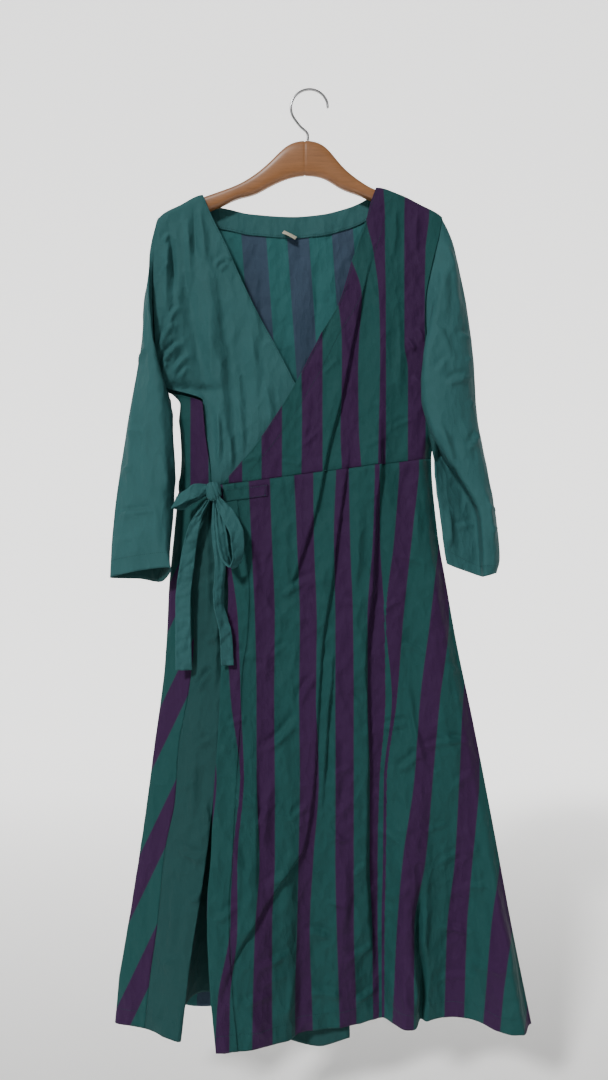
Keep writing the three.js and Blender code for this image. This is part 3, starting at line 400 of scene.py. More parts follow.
def fold_lift(folds, x, z):
    """How far the folds bring a point towards the viewer: each one's height, times its profile across
    its line, times a fade at its two ends."""
    lift = np.zeros(np.broadcast_shapes(np.shape(x), np.shape(z)))
    for kind, width, high, line in folds:
        top, bottom = line["z"].max(), line["z"].min()
        low_end = 1.0 if bottom < HEM_Z else smooth((z - bottom) / FOLD_FADE)
        t = (x - read(line, "z", "x", z)) / width
        lift += high * smooth((top - z) / FOLD_FADE) * low_end * (lip(t) if kind == "lip" else bump(t, 1.0))
    return lift


def crease_lift(creases, x, z):
    """The height of the listed creases: an edge along a bowed line with a dent at its side, faded
    to nothing over the first and last third of its length."""
    lift = np.zeros(np.broadcast_shapes(np.shape(x), np.shape(z)))
    for x0, z0, x1, z1, bow, width, high, dent in zip(*creases.values()):
        long = math.hypot(x1 - x0, z1 - z0)
        ux, uz = (x1 - x0) / long, (z1 - z0) / long
        along = ((x - x0) * ux + (z - z0) * uz) / long
        across = (z - z0) * ux - (x - x0) * uz - bow * 4 * along * (1 - along)
        ends = smooth(along * 3) * smooth((1 - along) * 3)
        width = width * CREASE_NARROWER
        lift += high * ends * (edge(across / width) - dent * 0.6 * bump(across - 1.7 * width, width))
    return lift * CREASE_HIGHER


def crumple(u, v, size, seed):
    """Soft irregular unevenness from -1 to 1: a fixed random height at each point of a square lattice
    of that size, blended by S-curves in between."""
    heights = np.random.default_rng(seed).uniform(-1, 1, (64, 64))
    a, b = u / size, v / size
    i, j = np.floor(a).astype(int), np.floor(b).astype(int)
    s, t = smooth(a - i), smooth(b - j)

    def corner(di, dj):
        return heights[(i + di) % 64, (j + dj) % 64]

    return lerp(lerp(corner(0, 0), corner(1, 0), s), lerp(corner(0, 1), corner(1, 1), s), t)


def facets(u, v, size, seed):
    """Crumple with sharp creases, from 0 to about 1: the squared distance to the nearest of a set of
    scattered points, one in each square of a lattice of that size. A crease runs wherever two points
    are equally near."""
    scattered = np.random.default_rng(seed).uniform(0.05, 0.95, (2, 64, 64))
    a, b = np.broadcast_arrays(u / size, v / size)
    i, j = np.floor(a).astype(int), np.floor(b).astype(int)
    nearest = np.full(a.shape, 9.0)
    for di in (-1, 0, 1):
        for dj in (-1, 0, 1):
            point = scattered[:, (i + di) % 64, (j + dj) % 64]
            nearest = np.minimum(nearest, (i + di + point[0] - a) ** 2 + (j + dj + point[1] - b) ** 2)
    return nearest


def rumple(u, v, seed):
    """The cloth's own unevenness, in millimetres: soft crumple of three sizes, and two sizes of sharp
    creases, long ones that run mostly down the cloth and short ones, which take turns from place to place."""
    soft = (0.9 * crumple(u, v * 0.6, 46, seed) + 0.4 * crumple(u + 13, v, 19, seed + 1)
            + 0.16 * crumple(u, v + 7, 8, seed + 2))
    turns = 0.5 + 0.5 * crumple(u, v, 70, seed + 3)
    long_creases = facets(u + 0.30 * v, 0.45 * v, 34, seed + 4) - 0.2
    short_creases = facets(u - 0.35 * v, 0.75 * v, 17, seed + 5) - 0.2
    return soft + 9.5 * turns * long_creases + 4.5 * (1 - turns) * short_creases


def off_the_seam(x, z):
    """0 on the waist seam and 1 away from it, so that the cloth on its two sides meets."""
    return 1 - bump(z - waist_z(x), 6)


def shoulder_round(drop):
    """The cloth rounds over the hanger's arm: a quarter ellipse, from the drop below the shoulder."""
    down = np.clip(1 - drop / SHOULDER_ROUND, 0, 1)
    return np.sqrt(1 - down * down)


def below_shoulder(x, z):
    return shoulder_round(TOP_RISE + read(SHOULDER_LINE, "x", "z", x) - z)


def waist_z(x):
    return WAIST["z"] + WAIST["slope"] * (x - WAIST["x"])


def waist_groove(x, z):
    """Cloth is drawn in beside the waist seam, in a groove along it with fine gathers."""
    away = np.abs(z - waist_z(x))
    gathers = 0.5 * np.sin(x / 3.1) * np.sin(x / 8.3 + 1.0)
    return -1.1 * bump(away, 2.6) + gathers * bump(away - 7, 7)


def over_y(x, z):
    """Depth of the lapped-over front: its table by height, blended to the hem's wave, less its folds
    and creases, and closed onto the back at the side seam."""
    columns = np.stack([read(OVER_DEPTH, "z", name, z) for name in OVER_COLUMNS])
    plain = curve(list(OVER_COLUMNS.values()), columns, x)
    towards_hem = smooth((HEM_SWING["top"] - z) / HEM_SWING["tall"]) ** HEM_SWING["ease"]
    hung = lerp(plain, read(HEM_WAVE, "x", "y", x), towards_hem) - fold_lift(OVER_FOLDS, x, z)
    below_underarm = smooth((UNDERARM["right"] + SEAM_FADE - z) / SEAM_FADE)
    closed = lerp(-SIDE_HALF_GAP, hung, smooth((read(RIGHT_SIDE, "z", "x", z) - x) / SIDE_TURN))
    return lerp(hung, closed, below_underarm)


def under_y(x, z, across):
    columns = np.stack([read(UNDER_DEPTH, "z", name, z) for name in ("side", "middle", "edge")])
    return curve([0, 0.5, 1], columns, across) - fold_lift(UNDER_FOLDS, x, z)


def back_y(x, z):
    return read(BACK_DEPTH, "z", "y", z) - fold_lift(BACK_FOLDS, x, z)


def drops(rows, round_rows=7):
    """Rows down a piece from a shoulder: its drop over the round, then the share of what is below."""
    over = np.linspace(0, 1, round_rows) ** 1.6 * SHOULDER_ROUND
    share = np.linspace(0, 1, rows - round_rows + 1)[1:]
    drop = np.concatenate([over, np.full(len(share), SHOULDER_ROUND)])
    return drop[:, None], np.concatenate([np.zeros(round_rows), share])[:, None]


def over_bodice(columns, rows):
    """Front bodice that laps over: straight across from the wrap edge to the armhole and side seam at
    each row, raised to the shoulder line at the top, and given its depth."""
    across = np.linspace(0, 1, columns)[None, :]
    drop, share = drops(rows)
    left_z = lerp(WRAP_EDGE["z"][0] - drop, waist_z(-118) + SEAM / 2, share)
    right_z = lerp(TIP["right"][1] - drop, waist_z(WAIST["x"]) + SEAM / 2, share)
    left = read(WRAP_EDGE, "z", "x", left_z)
    right = np.where(right_z > UNDERARM["right"], read(RIGHT_ARMHOLE, "z", "x", right_z),
                     read(RIGHT_SIDE, "z", "x", right_z))
    x = lerp(left, right, across)
    top_x = lerp(WRAP_EDGE["x"][0], TIP["right"][0], across)
    rise = read(SHOULDER_LINE, "x", "z", top_x) - lerp(WRAP_EDGE["z"][0], TIP["right"][1], across)
    z = lerp(left_z, right_z, across) + rise * (1 - share)
    uneven = crease_lift(OVER_BODICE_CREASES, x, z) + 0.6 * rumple(x, z, 3)
    lift = uneven * off_the_seam(x, z) + waist_groove(x, z)
    fade = smooth((read(SHOULDER_LINE, "x", "z", x) - z) / 30)
    return xyz(x, (over_y(x, z) - lift * fade) * below_shoulder(x, z), z)


# Where the cloth below the left armhole rolls back under itself.
ROLL = {"z": -412.0, "tall": 9.0, "share": 0.4, "deep": 9.0}


def under_bodice(columns, rows):
    """Front bodice underneath: from the left armhole and side seam to its neck edge, in the same way."""
    across = np.linspace(0, 1, columns)[None, :]
    drop, share = drops(rows)
    left_z = lerp(TIP["left"][1] - drop, waist_z(-131) + SEAM / 2, share)
    right_z = lerp(UNDER_NECK_EDGE["z"][0] - drop, waist_z(49) + SEAM / 2, share)
    seam = read(LEFT_SEAM, "z", "x", left_z) + SEAM / 2
    under_arm = smooth((UNDERARM["left"] - left_z) / UNDER_FADE)
    left = lerp(read(LEFT_ARMHOLE, "z", "x", left_z), seam, under_arm)
    x = lerp(left, read(UNDER_NECK_EDGE, "z", "x", right_z), across)
    top_x = lerp(TIP["left"][0], UNDER_NECK_EDGE["x"][0], across)
    rise = read(SHOULDER_LINE, "x", "z", top_x) - lerp(TIP["left"][1], UNDER_NECK_EDGE["z"][0], across)
    z = lerp(left_z, right_z, across) + rise * (1 - share)
    uneven = crease_lift(UNDER_BODICE_CREASES, x, z) + 0.5 * rumple(x, z, 11)
    lift = uneven * off_the_seam(x, z) + waist_groove(x, z)
    fade = smooth((read(SHOULDER_LINE, "x", "z", x) - z) / 30) * smooth(across * 12)
    rolled = ROLL["deep"] * bump(z - ROLL["z"], ROLL["tall"]) * (1 - smooth(across / ROLL["share"]))
    return xyz(x, (under_y(x, z, across) + rolled - lift * fade) * below_shoulder(x, z), z)


def back_controls(z, end_x, end_y, fold_x, fold_y, side_x, side_y):
    """Control points of a path across the back at each height: the end of its wrap, its left fold, then
    ten points behind, and the right side."""
    points = [xyz(end_x, end_y, z), xyz(fold_x, fold_y, z)]
    for share in np.linspace(0, 1, 10):
        x = lerp(fold_x + BACK_SIDES["fold_inset"], side_x - BACK_SIDES["seam_inset"], share)
        near_side = share in (0.0, 1.0)
        points.append(xyz(x, back_y(x, z) * (BACK_SIDES["flatten"] if near_side else 1), z))
    points.append(xyz(side_x, side_y, z))
    return np.stack(points)


def back_skirt_path(z):
    end_x, end_y = read(LEFT_SEAM, "z", "x", z) - SEAM, read(LEFT_SEAM, "z", "y", z)
    fold_x, side_x = read(LEFT_FOLD, "z", "x", z), read(RIGHT_SIDE, "z", "x", z)
    return back_controls(z, end_x, end_y, fold_x, SIDE_FOLD_Y, side_x, SIDE_HALF_GAP)


def back_bodice_path(z):
    wrapped = smooth((UNDERARM["left"] - UNDERARM_DROP - z) / UNDER_FADE)
    armhole_x = read(LEFT_ARMHOLE, "z", "x", z)
    end_x = lerp(armhole_x, read(LEFT_SEAM, "z", "x", z) - SEAM, wrapped)
    end_y = lerp(ARMHOLE_BACK["edge_y"], read(LEFT_SEAM, "z", "y", z), wrapped)
    fold_x = lerp(armhole_x + ARMHOLE_BACK["inset"], read(LEFT_FOLD, "z", "x", z), wrapped)
    fold_y = lerp(ARMHOLE_BACK["y"], SIDE_FOLD_Y, wrapped)
    joined = smooth((UNDERARM["right"] + SEAM_FADE - z) / SEAM_FADE)
    side_x = np.where(z > UNDERARM["right"], read(RIGHT_ARMHOLE, "z", "x", z), read(RIGHT_SIDE, "z", "x", z))
    side_y = lerp(ARMHOLE_BACK["y"], SIDE_HALF_GAP, joined)
    return back_controls(z, end_x, end_y, fold_x, fold_y, side_x, side_y)


def normals(points, around=False):
    """Unit normals of a grid of points, from its differences across and down."""
    if around:
        across = np.roll(points, -1, axis=1) - np.roll(points, 1, axis=1)
    else:
        across = np.gradient(points, axis=1)
    normal = np.cross(across, np.gradient(points, axis=0))
    return normal / np.maximum(np.linalg.norm(normal, axis=-1, keepdims=True), 1e-9)


def lifted(points, lift, outwards):
    """Points moved by the lift along their normals, turned to the side where outwards is 1 or -1."""
    return points + normals(points) * (lift * outwards)[..., None]


# The left fold's place on the paths across the back, and a shift that keeps the unevenness of the
# wrapped part from repeating the part behind it.
BACK_FOLD_SHARE = 1 / 12
WRAP_SHIFT = 900.0
BACK_HEM_RISE = {"x": -172.0, "wide": 43.0, "high": 56.0}


def back_skirt(columns, rows):
    """Back skirt: paths from its seam in front, round the left fold and behind to the right side seam,
    at heights from the waist seam to a hem that curls up a little behind the slit."""
    across = np.linspace(0, 1, columns)[None, :]
    down = np.linspace(0, 1, rows)[:, None]
    top_x = spline(back_skirt_path(np.full(across.shape, WAIST["z"])), across)[..., 0]
    behind = smooth((across - BACK_FOLD_SHARE - 0.03) / 0.05)
    hem = HEM_Z + BACK_HEM_RISE["high"] * bump(top_x - BACK_HEM_RISE["x"], BACK_HEM_RISE["wide"]) * behind
    z = lerp(waist_z(top_x) - SEAM / 2, hem, down)
    points = spline(back_skirt_path(z), across)
    x = points[..., 0]
    creases = crease_lift(BACK_SKIRT_CREASES, x, z) * behind
    edges = smooth(across / 0.03) * smooth((1 - across) / 0.03)
    uneven = creases + 0.8 * rumple(x + WRAP_SHIFT * (1 - behind), z, 21)
    folded = 1 - 0.8 * bump(across - BACK_FOLD_SHARE, 0.045)
    lift = (uneven * off_the_seam(x, z) * folded + waist_groove(x, z)) * edges
    return lifted(points, lift, 1)


def back_neck_lift(x, z, top):
    """Unevenness of the back bodice, which the facing inside its neck follows."""
    return 0.6 * rumple(x, z, 31) * smooth((top - z) / 40) * off_the_seam(x, z)


def back_bodice(columns, rows):
    """Back bodice: the same paths, cut away to the armholes and the neck, over the hanger's arms."""
    across = np.linspace(0, 1, columns)[None, :]
    drop, share = drops(rows)
    top_x = spline(back_bodice_path(np.full(across.shape, TIP["left"][1])), across)[..., 0]
    over_neck = (top_x > SHOULDER_LINE["x"][3]) & (top_x < SHOULDER_LINE["x"][4])
    top = np.where(over_neck, read(BACK_NECK_LINE, "x", "z", top_x), read(SHOULDER_LINE, "x", "z", top_x))
    waist_x = spline(back_bodice_path(np.full(across.shape, WAIST["z"])), across)[..., 0]
    z = lerp(top - drop, waist_z(waist_x) + SEAM / 2, share)
    points = spline(back_bodice_path(z), across)
    x = points[..., 0]
    edges = smooth(across / 0.04) * smooth((1 - across) / 0.04)
    creases = crease_lift(BACK_BODICE_CREASES, x, z) * smooth((across - BACK_FOLD_SHARE - 0.03) / 0.05)
    lift = (creases * off_the_seam(x, z) + waist_groove(x, z)) * smooth((top - z) / 40) + back_neck_lift(x, z, top)
    points = lifted(points, lift * edges, 1)
    beyond = np.maximum(smooth((NECK["left"] - x) / NECK["blend"]), smooth((x - NECK["right"]) / NECK["blend"]))
    points[..., 1] *= lerp(1.0, shoulder_round(TOP_RISE + top - z), beyond)
    return points


UNDER_FOLD_EDGE = table("z x y turnX turnY midX midY endX endY", [
    [-545, -112, -20, -90, -20, -20, -18, 50, -14], [-680, -105, -27, -82, -25, -16, -19, 52, -10],
    [-780, -114, -31, -94, -22, -24, -15, 53, -7], [-860, -118, -34, -100, -14, -30, -11, 54, -4],
    [-940, -124, -36, -106, -8, -34, -7, 55, -2], [-1073, -140, -38, -121, 0, -42, -2, 56, 0],
    [-1167, -155, -38, -136, 4, -52, 1, 57, 2], [-1320, -174, -38, -154, 8, -62, 4, 58, 3],
])


def under_skirt_path(z):
    cell = {name: read(UNDER_FOLD_EDGE, "z", name, z) for name in UNDER_FOLD_EDGE if name != "z"}
    seam_x, seam_y = read(LEFT_SEAM, "z", "x", z) + SEAM / 2, read(LEFT_SEAM, "z", "y", z)
    return np.stack([
        xyz(seam_x, seam_y, z), xyz(cell["x"] - 6, cell["y"] + 0.8, z), xyz(cell["x"], cell["y"], z),
        xyz(cell["x"] - 3, cell["y"] + 8, z), xyz(cell["turnX"], cell["turnY"], z),
        xyz(cell["midX"], cell["midY"], z), xyz(cell["endX"], cell["endY"], z),
    ])


# Where the lower edge of that panel hangs, from its seam at 0 to its hidden end at 1.
UNDER_HEM = table("across z", [
    [0, -1287], [0.333, -1289], [0.45, -1264], [0.6, -1246], [0.72, -1250], [0.8, -1282], [0.88, -1310],
    [0.94, -1320], [1.0, -1308],
])
UNDER_EDGE_SHARE = 1 / 3


def under_skirt(columns, rows):
    """Skirt panel underneath: from its left seam to a soft fold, then turned back behind the other."""
    across = np.linspace(0, 1, columns)[None, :]
    down = np.linspace(0, 1, rows)[:, None]
    top_x = spline(under_skirt_path(np.full(across.shape, UNDER_FOLD_EDGE["z"][0])), across)[..., 0]
    z = lerp(waist_z(top_x) - SEAM / 2, read(UNDER_HEM, "across", "z", across), down)
    points = spline(under_skirt_path(z), across)
    x = points[..., 0]
    shown = smooth((UNDER_EDGE_SHARE + 0.02 - across) / 0.04)
    flat_edge = smooth(np.abs(across - UNDER_EDGE_SHARE) / 0.12)
    uneven = (crease_lift(UNDER_SKIRT_CREASES, x, z) + 0.8 * rumple(x, z, 41)) * lerp(0.4, 1.0, shown)
    lift = uneven * flat_edge * off_the_seam(x, z) + waist_groove(x, z)
    return lifted(points, lift * smooth(across / 0.04), -1)


def over_skirt_line(inset, down):
    """A line down the lapped-over panel, set in from its free edge."""
    z = lerp(waist_z(SKIRT_FREE_EDGE["x"][0] + inset) - SEAM / 2, HEM_Z, down)
    return read(SKIRT_FREE_EDGE, "z", "x", z) + inset, z


def over_skirt_at(x, z):
    uneven = (crease_lift(OVER_SKIRT_CREASES, x, z) + rumple(x, z, 51)) * off_the_seam(x, z)
    lift = (uneven + waist_groove(x, z)) * smooth((read(RIGHT_SIDE, "z", "x", z) - x) / 10)
    return xyz(x, over_y(x, z) - lift, z)


def over_border(columns, rows):
    """The plain border down the free edge."""
    across = np.linspace(0, 1, columns)[None, :]
    down = np.linspace(0, 1, rows)[:, None]
    points = over_skirt_at(*over_skirt_line(across * (BORDER + 1.0), down))
    return points - (0, BORDER_PROUD, 0)


def over_skirt(columns, rows):
    """The striped panel, from the border to the right side seam."""
    across = np.linspace(0, 1, columns)[None, :]
    down = np.linspace(0, 1, rows)[:, None]
    left_x, left_z = over_skirt_line(BORDER + SEAM, down)
    right_z = lerp(waist_z(WAIST["x"]) - SEAM / 2, HEM_Z, down)
    x = lerp(left_x, read(RIGHT_SIDE, "z", "x", right_z), across)
    return over_skirt_at(x, lerp(left_z, right_z, across))


SLEEVE_COLUMNS = "v outerX outerZ foldX foldY foldZ innerX innerY innerZ backY"
RIGHT_SLEEVE = table(SLEEVE_COLUMNS, [
    [0.12, 205, -232, 169, -27, -316, 198, -6, -431, 13], [0.25, 219, -300, 158, -30, -375, 189, -12, -448, 13],
    [0.38, 228, -375, 157, -33, -425, 178, -17, -468, 12], [0.5, 232, -445, 168, -35, -470, 171, -20, -500, 11],
    [0.64, 245, -525, 206, -37, -535, 174, -21, -545, 9], [0.8, 256, -594, 233, -37, -594, 181, -20, -594, 8],
    [0.92, 261, -645, 236, -35, -648, 185, -20, -636, 6], [1.0, 256, -664, 236, -34, -669, 188, -19, -652, 5],
])
LEFT_SLEEVE = table(SLEEVE_COLUMNS, [
    [0.12, -218, -238, -215, -27, -292, -205, -8, -416, 13],
    [0.25, -224, -305, -211, -31, -345, -188, -15, -432, 12],
    [0.38, -232, -366, -206, -34, -395, -184, -19, -450, 12],
    [0.5, -243, -428, -202, -36, -442, -183, -21, -478, 12],
    [0.64, -256, -508, -198, -37, -508, -180, -22, -520, 11],
    [0.8, -266, -578, -193, -37, -572, -181, -22, -574, 10],
    [0.92, -271, -635, -189, -37, -628, -187, -21, -632, 9],
    [1.0, -273, -672, -184, -36, -658, -197, -18, -676, 10],
])
RING_STOPS = np.array([0, 5, 8, 12, 16]) / 16
# How far the right sleeve tucks in behind its fold, down its length.
TUCK = table("v deep", [[0.12, 5], [0.25, 9], [0.38, 18], [0.5, 27], [0.64, 31], [0.8, 31], [0.92, 27], [1.0, 22]])
TUCKED_STOPS = np.array([0, 2.0, 4.6, 5.9, 8, 12, 16]) / 16
FRONT_FLAT = 0.82
SLEEVE_HEAD = 0.12


def armhole_ring(side, turn):
    """The sleeve's seam round the armhole: down its front and up its back, closed at the underarm."""
    front = turn <= 0.5
    share = np.where(front, turn * 2, 2 - turn * 2)
    z = lerp(TIP[side][1], UNDERARM[side], share)
    outwards = 0.7 if side == "right" else -0.7
    x = read(RIGHT_ARMHOLE if side == "right" else LEFT_ARMHOLE, "z", "x", z)
    front_y = over_y(x, z) if side == "right" else under_y(x, z, np.zeros_like(z))
    y = np.where(front, front_y, ARMHOLE_BACK["y"]) * smooth((1 - share) / ARMHOLE_CLOSE)
    return xyz(x + outwards, y * shoulder_round(TIP[side][1] - z), z)


def sleeve_ring(side, levels, turn, v):
    """Rings of a sleeve at the lengths v: closed curves through an outer, a fold, an inner and a back
    point, with the turn spread over them as the stops say. The right one tucks in behind its fold."""
    cell = {name: read(levels, "v", name, v) for name in levels if name != "v"}
    outer = xyz(cell["outerX"], 0 * v, cell["outerZ"])
    inner = xyz(cell["innerX"], cell["innerY"], cell["innerZ"])
    fold = xyz(cell["foldX"], cell["foldY"], cell["foldZ"])
    back = (outer + inner) / 2
    back[..., 1] = cell["backY"]
    points = [outer, fold, inner, back]
    stops = RING_STOPS
    if side == "right":
        tuck = fold + xyz(-2.5, read(TUCK, "v", "deep", v), 0 * v)
        front = lerp(outer, fold, 0.25)
        front[..., 1] = cell["foldY"] * FRONT_FLAT
        points = [outer, front, fold, tuck, inner, back]
        stops = TUCKED_STOPS
    place = np.interp(turn, stops, np.arange(len(stops)) / len(points))
    return spline(np.stack(points), place % 1.0, closed=True)


# Whether a sleeve's rings run against the clock as seen from above.
SLEEVE_OUTWARDS = {"right": 1, "left": -1}


def sleeve(side, levels, creases, columns, rows):
    """A sleeve: rings from the armhole seam to the cuff. Near the armhole each point moves from the
    seam to the first ring, and leaves along the sleeve's own direction."""
    turn = (np.arange(columns) / columns)[None, :]
    v = np.linspace(0, 1, rows)[:, None]
    rings = sleeve_ring(side, levels, turn, np.maximum(v, SLEEVE_HEAD))
    step = 0.01
    first, second = (sleeve_ring(side, levels, turn, np.full((1, 1), SLEEVE_HEAD + ahead))
                     for ahead in (0, step))
    share = np.clip(v / SLEEVE_HEAD, 0, 1)[..., None]
    onward = first + (second - first) * ((v - SLEEVE_HEAD) / step)[..., None]
    head = lerp(lerp(armhole_ring(side, turn), first, share), onward, smooth(share))
    points = np.where(v[..., None] < SLEEVE_HEAD, head, rings)
    x, z = points[..., 0], points[..., 2]
    front = smooth(turn / 0.10) * smooth((0.5 - turn) / 0.04)
    rear = smooth((turn - 0.55) / 0.05) * smooth((0.95 - turn) / 0.12)
    calm = 1 - 0.8 * (bump(turn, 0.08) + bump(1 - turn, 0.08))
    behind = {**creases, "bow": -creases["bow"], "z0": creases["z0"] - 24, "z1": creases["z1"] - 10}
    lift = crease_lift(creases, x, z) * front + 0.8 * crease_lift(behind, x, z) * rear
    lift = (lift + 0.5 * calm * rumple(x + WRAP_SHIFT * rear, z, 61)) * smooth(v / 0.08)
    lift = lift - 0.9 * bump(v - 0.004, 0.012)
    normal = normals(points, around=True)
    return points + normal * (lift * SLEEVE_OUTWARDS[side])[..., None]


# Stripes of the lapped-over front, where they show in the photograph: x of the left and right edge of
# each purple stripe, in rows by height. In between, the cloth runs on evenly.
SKIRT_STRIPES = np.array([
    [-529, -127, -121, -81, -54, -18, 6, 40, 55, 94, 97, 127, 152, 190, 201, 246, 265, 313, 334, 389, 410],
    [-619, -121, -113, -77, -51, -14, 7, 37, 57, 91, 98, 120, 142, 182, 193, 239, 258, 306, 327, 375, 396],
    [-730, -112, -98, -72, -47, -10, 11, 39, 61, 83, 105, 108, 130, 170, 193, 226, 246, 293, 313, 362, 382],
    [-840, -105, -94, -70, -48, -11, 10, 39, 62, 83, 106, 117, 121, 156, 181, 215, 236, 282, 304, 348, 370],
    [-950, -92, -90, -70, -47, -10, 14, 39, 62, 86, 98, 106, 107, 148, 171, 210, 235, 272, 293, 337, 359],
    [-1061, -103, -99, -66, -47, -12, 6, 39, 62, 86, 95, 105, 106, 132, 161, 204, 226, 266, 286, 330, 351],
    [-1157, -106, -99, -72, -51, -14, 1, 41, 62, 90, 95, 103, 104, 124, 145, 193, 218, 254, 280, 316, 337],
    [-1254, -123, -109, -75, -51, -17, 4, 44, 65, 91, 97, 103, 104, 119, 145, 190, 215, 246, 268, 304, 326],
    [-1323, -127, -110, -76, -50, -17, 6, 46, 66, 92, 97, 103, 104, 116, 144, 188, 213, 240, 262, 298, 320],
], float)
BODICE_STRIPES = np.array([
    [-136, -149, -134, -99, -80, -46, -25, 14, 39, 80, 103, 135, 167],
    [-173, -138, -123, -88, -69, -34, -11, 22, 44, 81, 105, 134, 166],
    [-219, -130, -113, -80, -58, -25, 0, 28, 54, 91, 105, 134, 161],
    [-282, -119, -102, -72, -48, -17, 12, 41, 73, 99, 106, 134, 160],
    [-350, -110, -95, -66, -40, -11, 19, 48, 69, 101, 106, 134, 160],
    [-385, -108, -94, -65, -37, -8, 19, 48, 68, 101, 106, 139, 161],
    [-467, -108, -92, -63, -37, -7, 19, 46, 69, 99, 106, 139, 161],
    [-523, -108, -92, -63, -37, -8, 19, 48, 73, 98, 105, 139, 160],
], float)

# Stripes of the back bodice, seen inside the neck: x where the cloth's own width has run so far.
BACK_STRIPES = table("x across", [
    [-176, 160], [-91, 83], [-56.6, 58], [-27.6, 25], [2.8, 0], [35, -33], [65, -58], [98, -91],
    [128, -116], [180, -160],
])
BACK_STRIPE_DRIFT = 0.07
# How far each purple stripe's dye runs beyond the edges in the tables above.
STRIPE_SPREAD = 1.2
WRAP_STRIPES = {"x": 0.83, "z": 0.4, "start": 2.6}
WRAP_BODICE_START = 336.0
BACK_BIAS = {"slope": 0.18, "z": -900.0, "ease": 220.0}


def seen(points):
    """Where points appear on the plane y = 0 from the eye point."""
    closer = EYE["y"] / (EYE["y"] - points[..., 1])
    return (EYE["x"] + (points[..., 0] - EYE["x"]) * closer, EYE["z"] + (points[..., 2] - EYE["z"]) * closer)


def front_width(stripes, points):
    """How far across the cloth each point lies: the sum, over the stripes, of the share of each that
    lies to its left, times that stripe's real width."""
    x, z = seen(points)
    rows = stripes[::-1]
    edges = np.stack([curve(rows[:, 0], rows[:, k], z) + (STRIPE_SPREAD if k % 2 == 0 else -STRIPE_SPREAD)
                      for k in range(1, stripes.shape[1])])
    marks = np.array([REPEAT * (k // 2) + PURPLE * (k % 2) for k in range(len(edges))])
    across = np.minimum(x - edges[0], 0) + np.maximum(x - edges[-1], 0) + marks[-1] * (x >= edges[-1])
    inside = np.zeros(x.shape)
    for left, right, start, end in zip(edges[:-1], edges[1:], marks[:-1], marks[1:]):
        inside += np.clip((x - left) / np.maximum(right - left, 0.5), 0, 1) * (end - start)
    return np.where(x >= edges[-1], across, across + inside)


def fabric(across, along):
    """A UV map in metres of cloth, from millimetres."""
    return np.stack(np.broadcast_arrays(across, along), axis=-1) * MM


def plain_uv(points):
    return fabric(points[..., 0] + points[..., 1], points[..., 2])


def ring_uv(points):
    """On a sleeve: round it by length, and down by height."""
    wrapped = np.concatenate([points, points[:, :1]], axis=1)
    steps = np.linalg.norm(np.diff(wrapped, axis=1), axis=-1)
    around = np.concatenate([np.zeros((len(points), 1)), np.cumsum(steps, axis=1)], axis=1)
    return fabric(around, wrapped[..., 2])


def path_lengths(points):
    steps = np.linalg.norm(np.diff(points, axis=1), axis=-1)
    return np.concatenate([np.zeros((len(points), 1)), np.cumsum(steps, axis=1)], axis=1)


def back_skirt_uv(points):
    """Stripes slant over the wrapped part, and run on from the fold behind, a little on the bias."""
    x, z = seen(points)
    wrapped = WRAP_STRIPES["x"] * x - WRAP_STRIPES["z"] * z + WRAP_STRIPES["start"]
    share = np.linspace(0, 1, points.shape[1])
    fold = int(np.argmin(np.abs(share - BACK_FOLD_SHARE)))
    length = path_lengths(points)
    beyond = length - length[:, fold:fold + 1]
    bias = BACK_BIAS["slope"] * (BACK_BIAS["z"] - z) * smooth(beyond / BACK_BIAS["ease"])
    behind = wrapped[:, fold:fold + 1] - beyond - bias
    return fabric(np.where(share[None, :] <= share[fold], wrapped, behind), z)


def back_bodice_uv(points):
    x, z = points[..., 0], points[..., 2]
    share = np.linspace(0, 1, points.shape[1])[None, :]
    behind = read(BACK_STRIPES, "x", "across", x - BACK_STRIPE_DRIFT * (TIP["left"][1] - 43 - z))
    wrapped = seen(points)[0] + WRAP_BODICE_START
    in_front = (share <= BACK_FOLD_SHARE) & (z < UNDERARM["left"] - UNDERARM_DROP)
    return fabric(np.where(in_front, wrapped, behind), z)


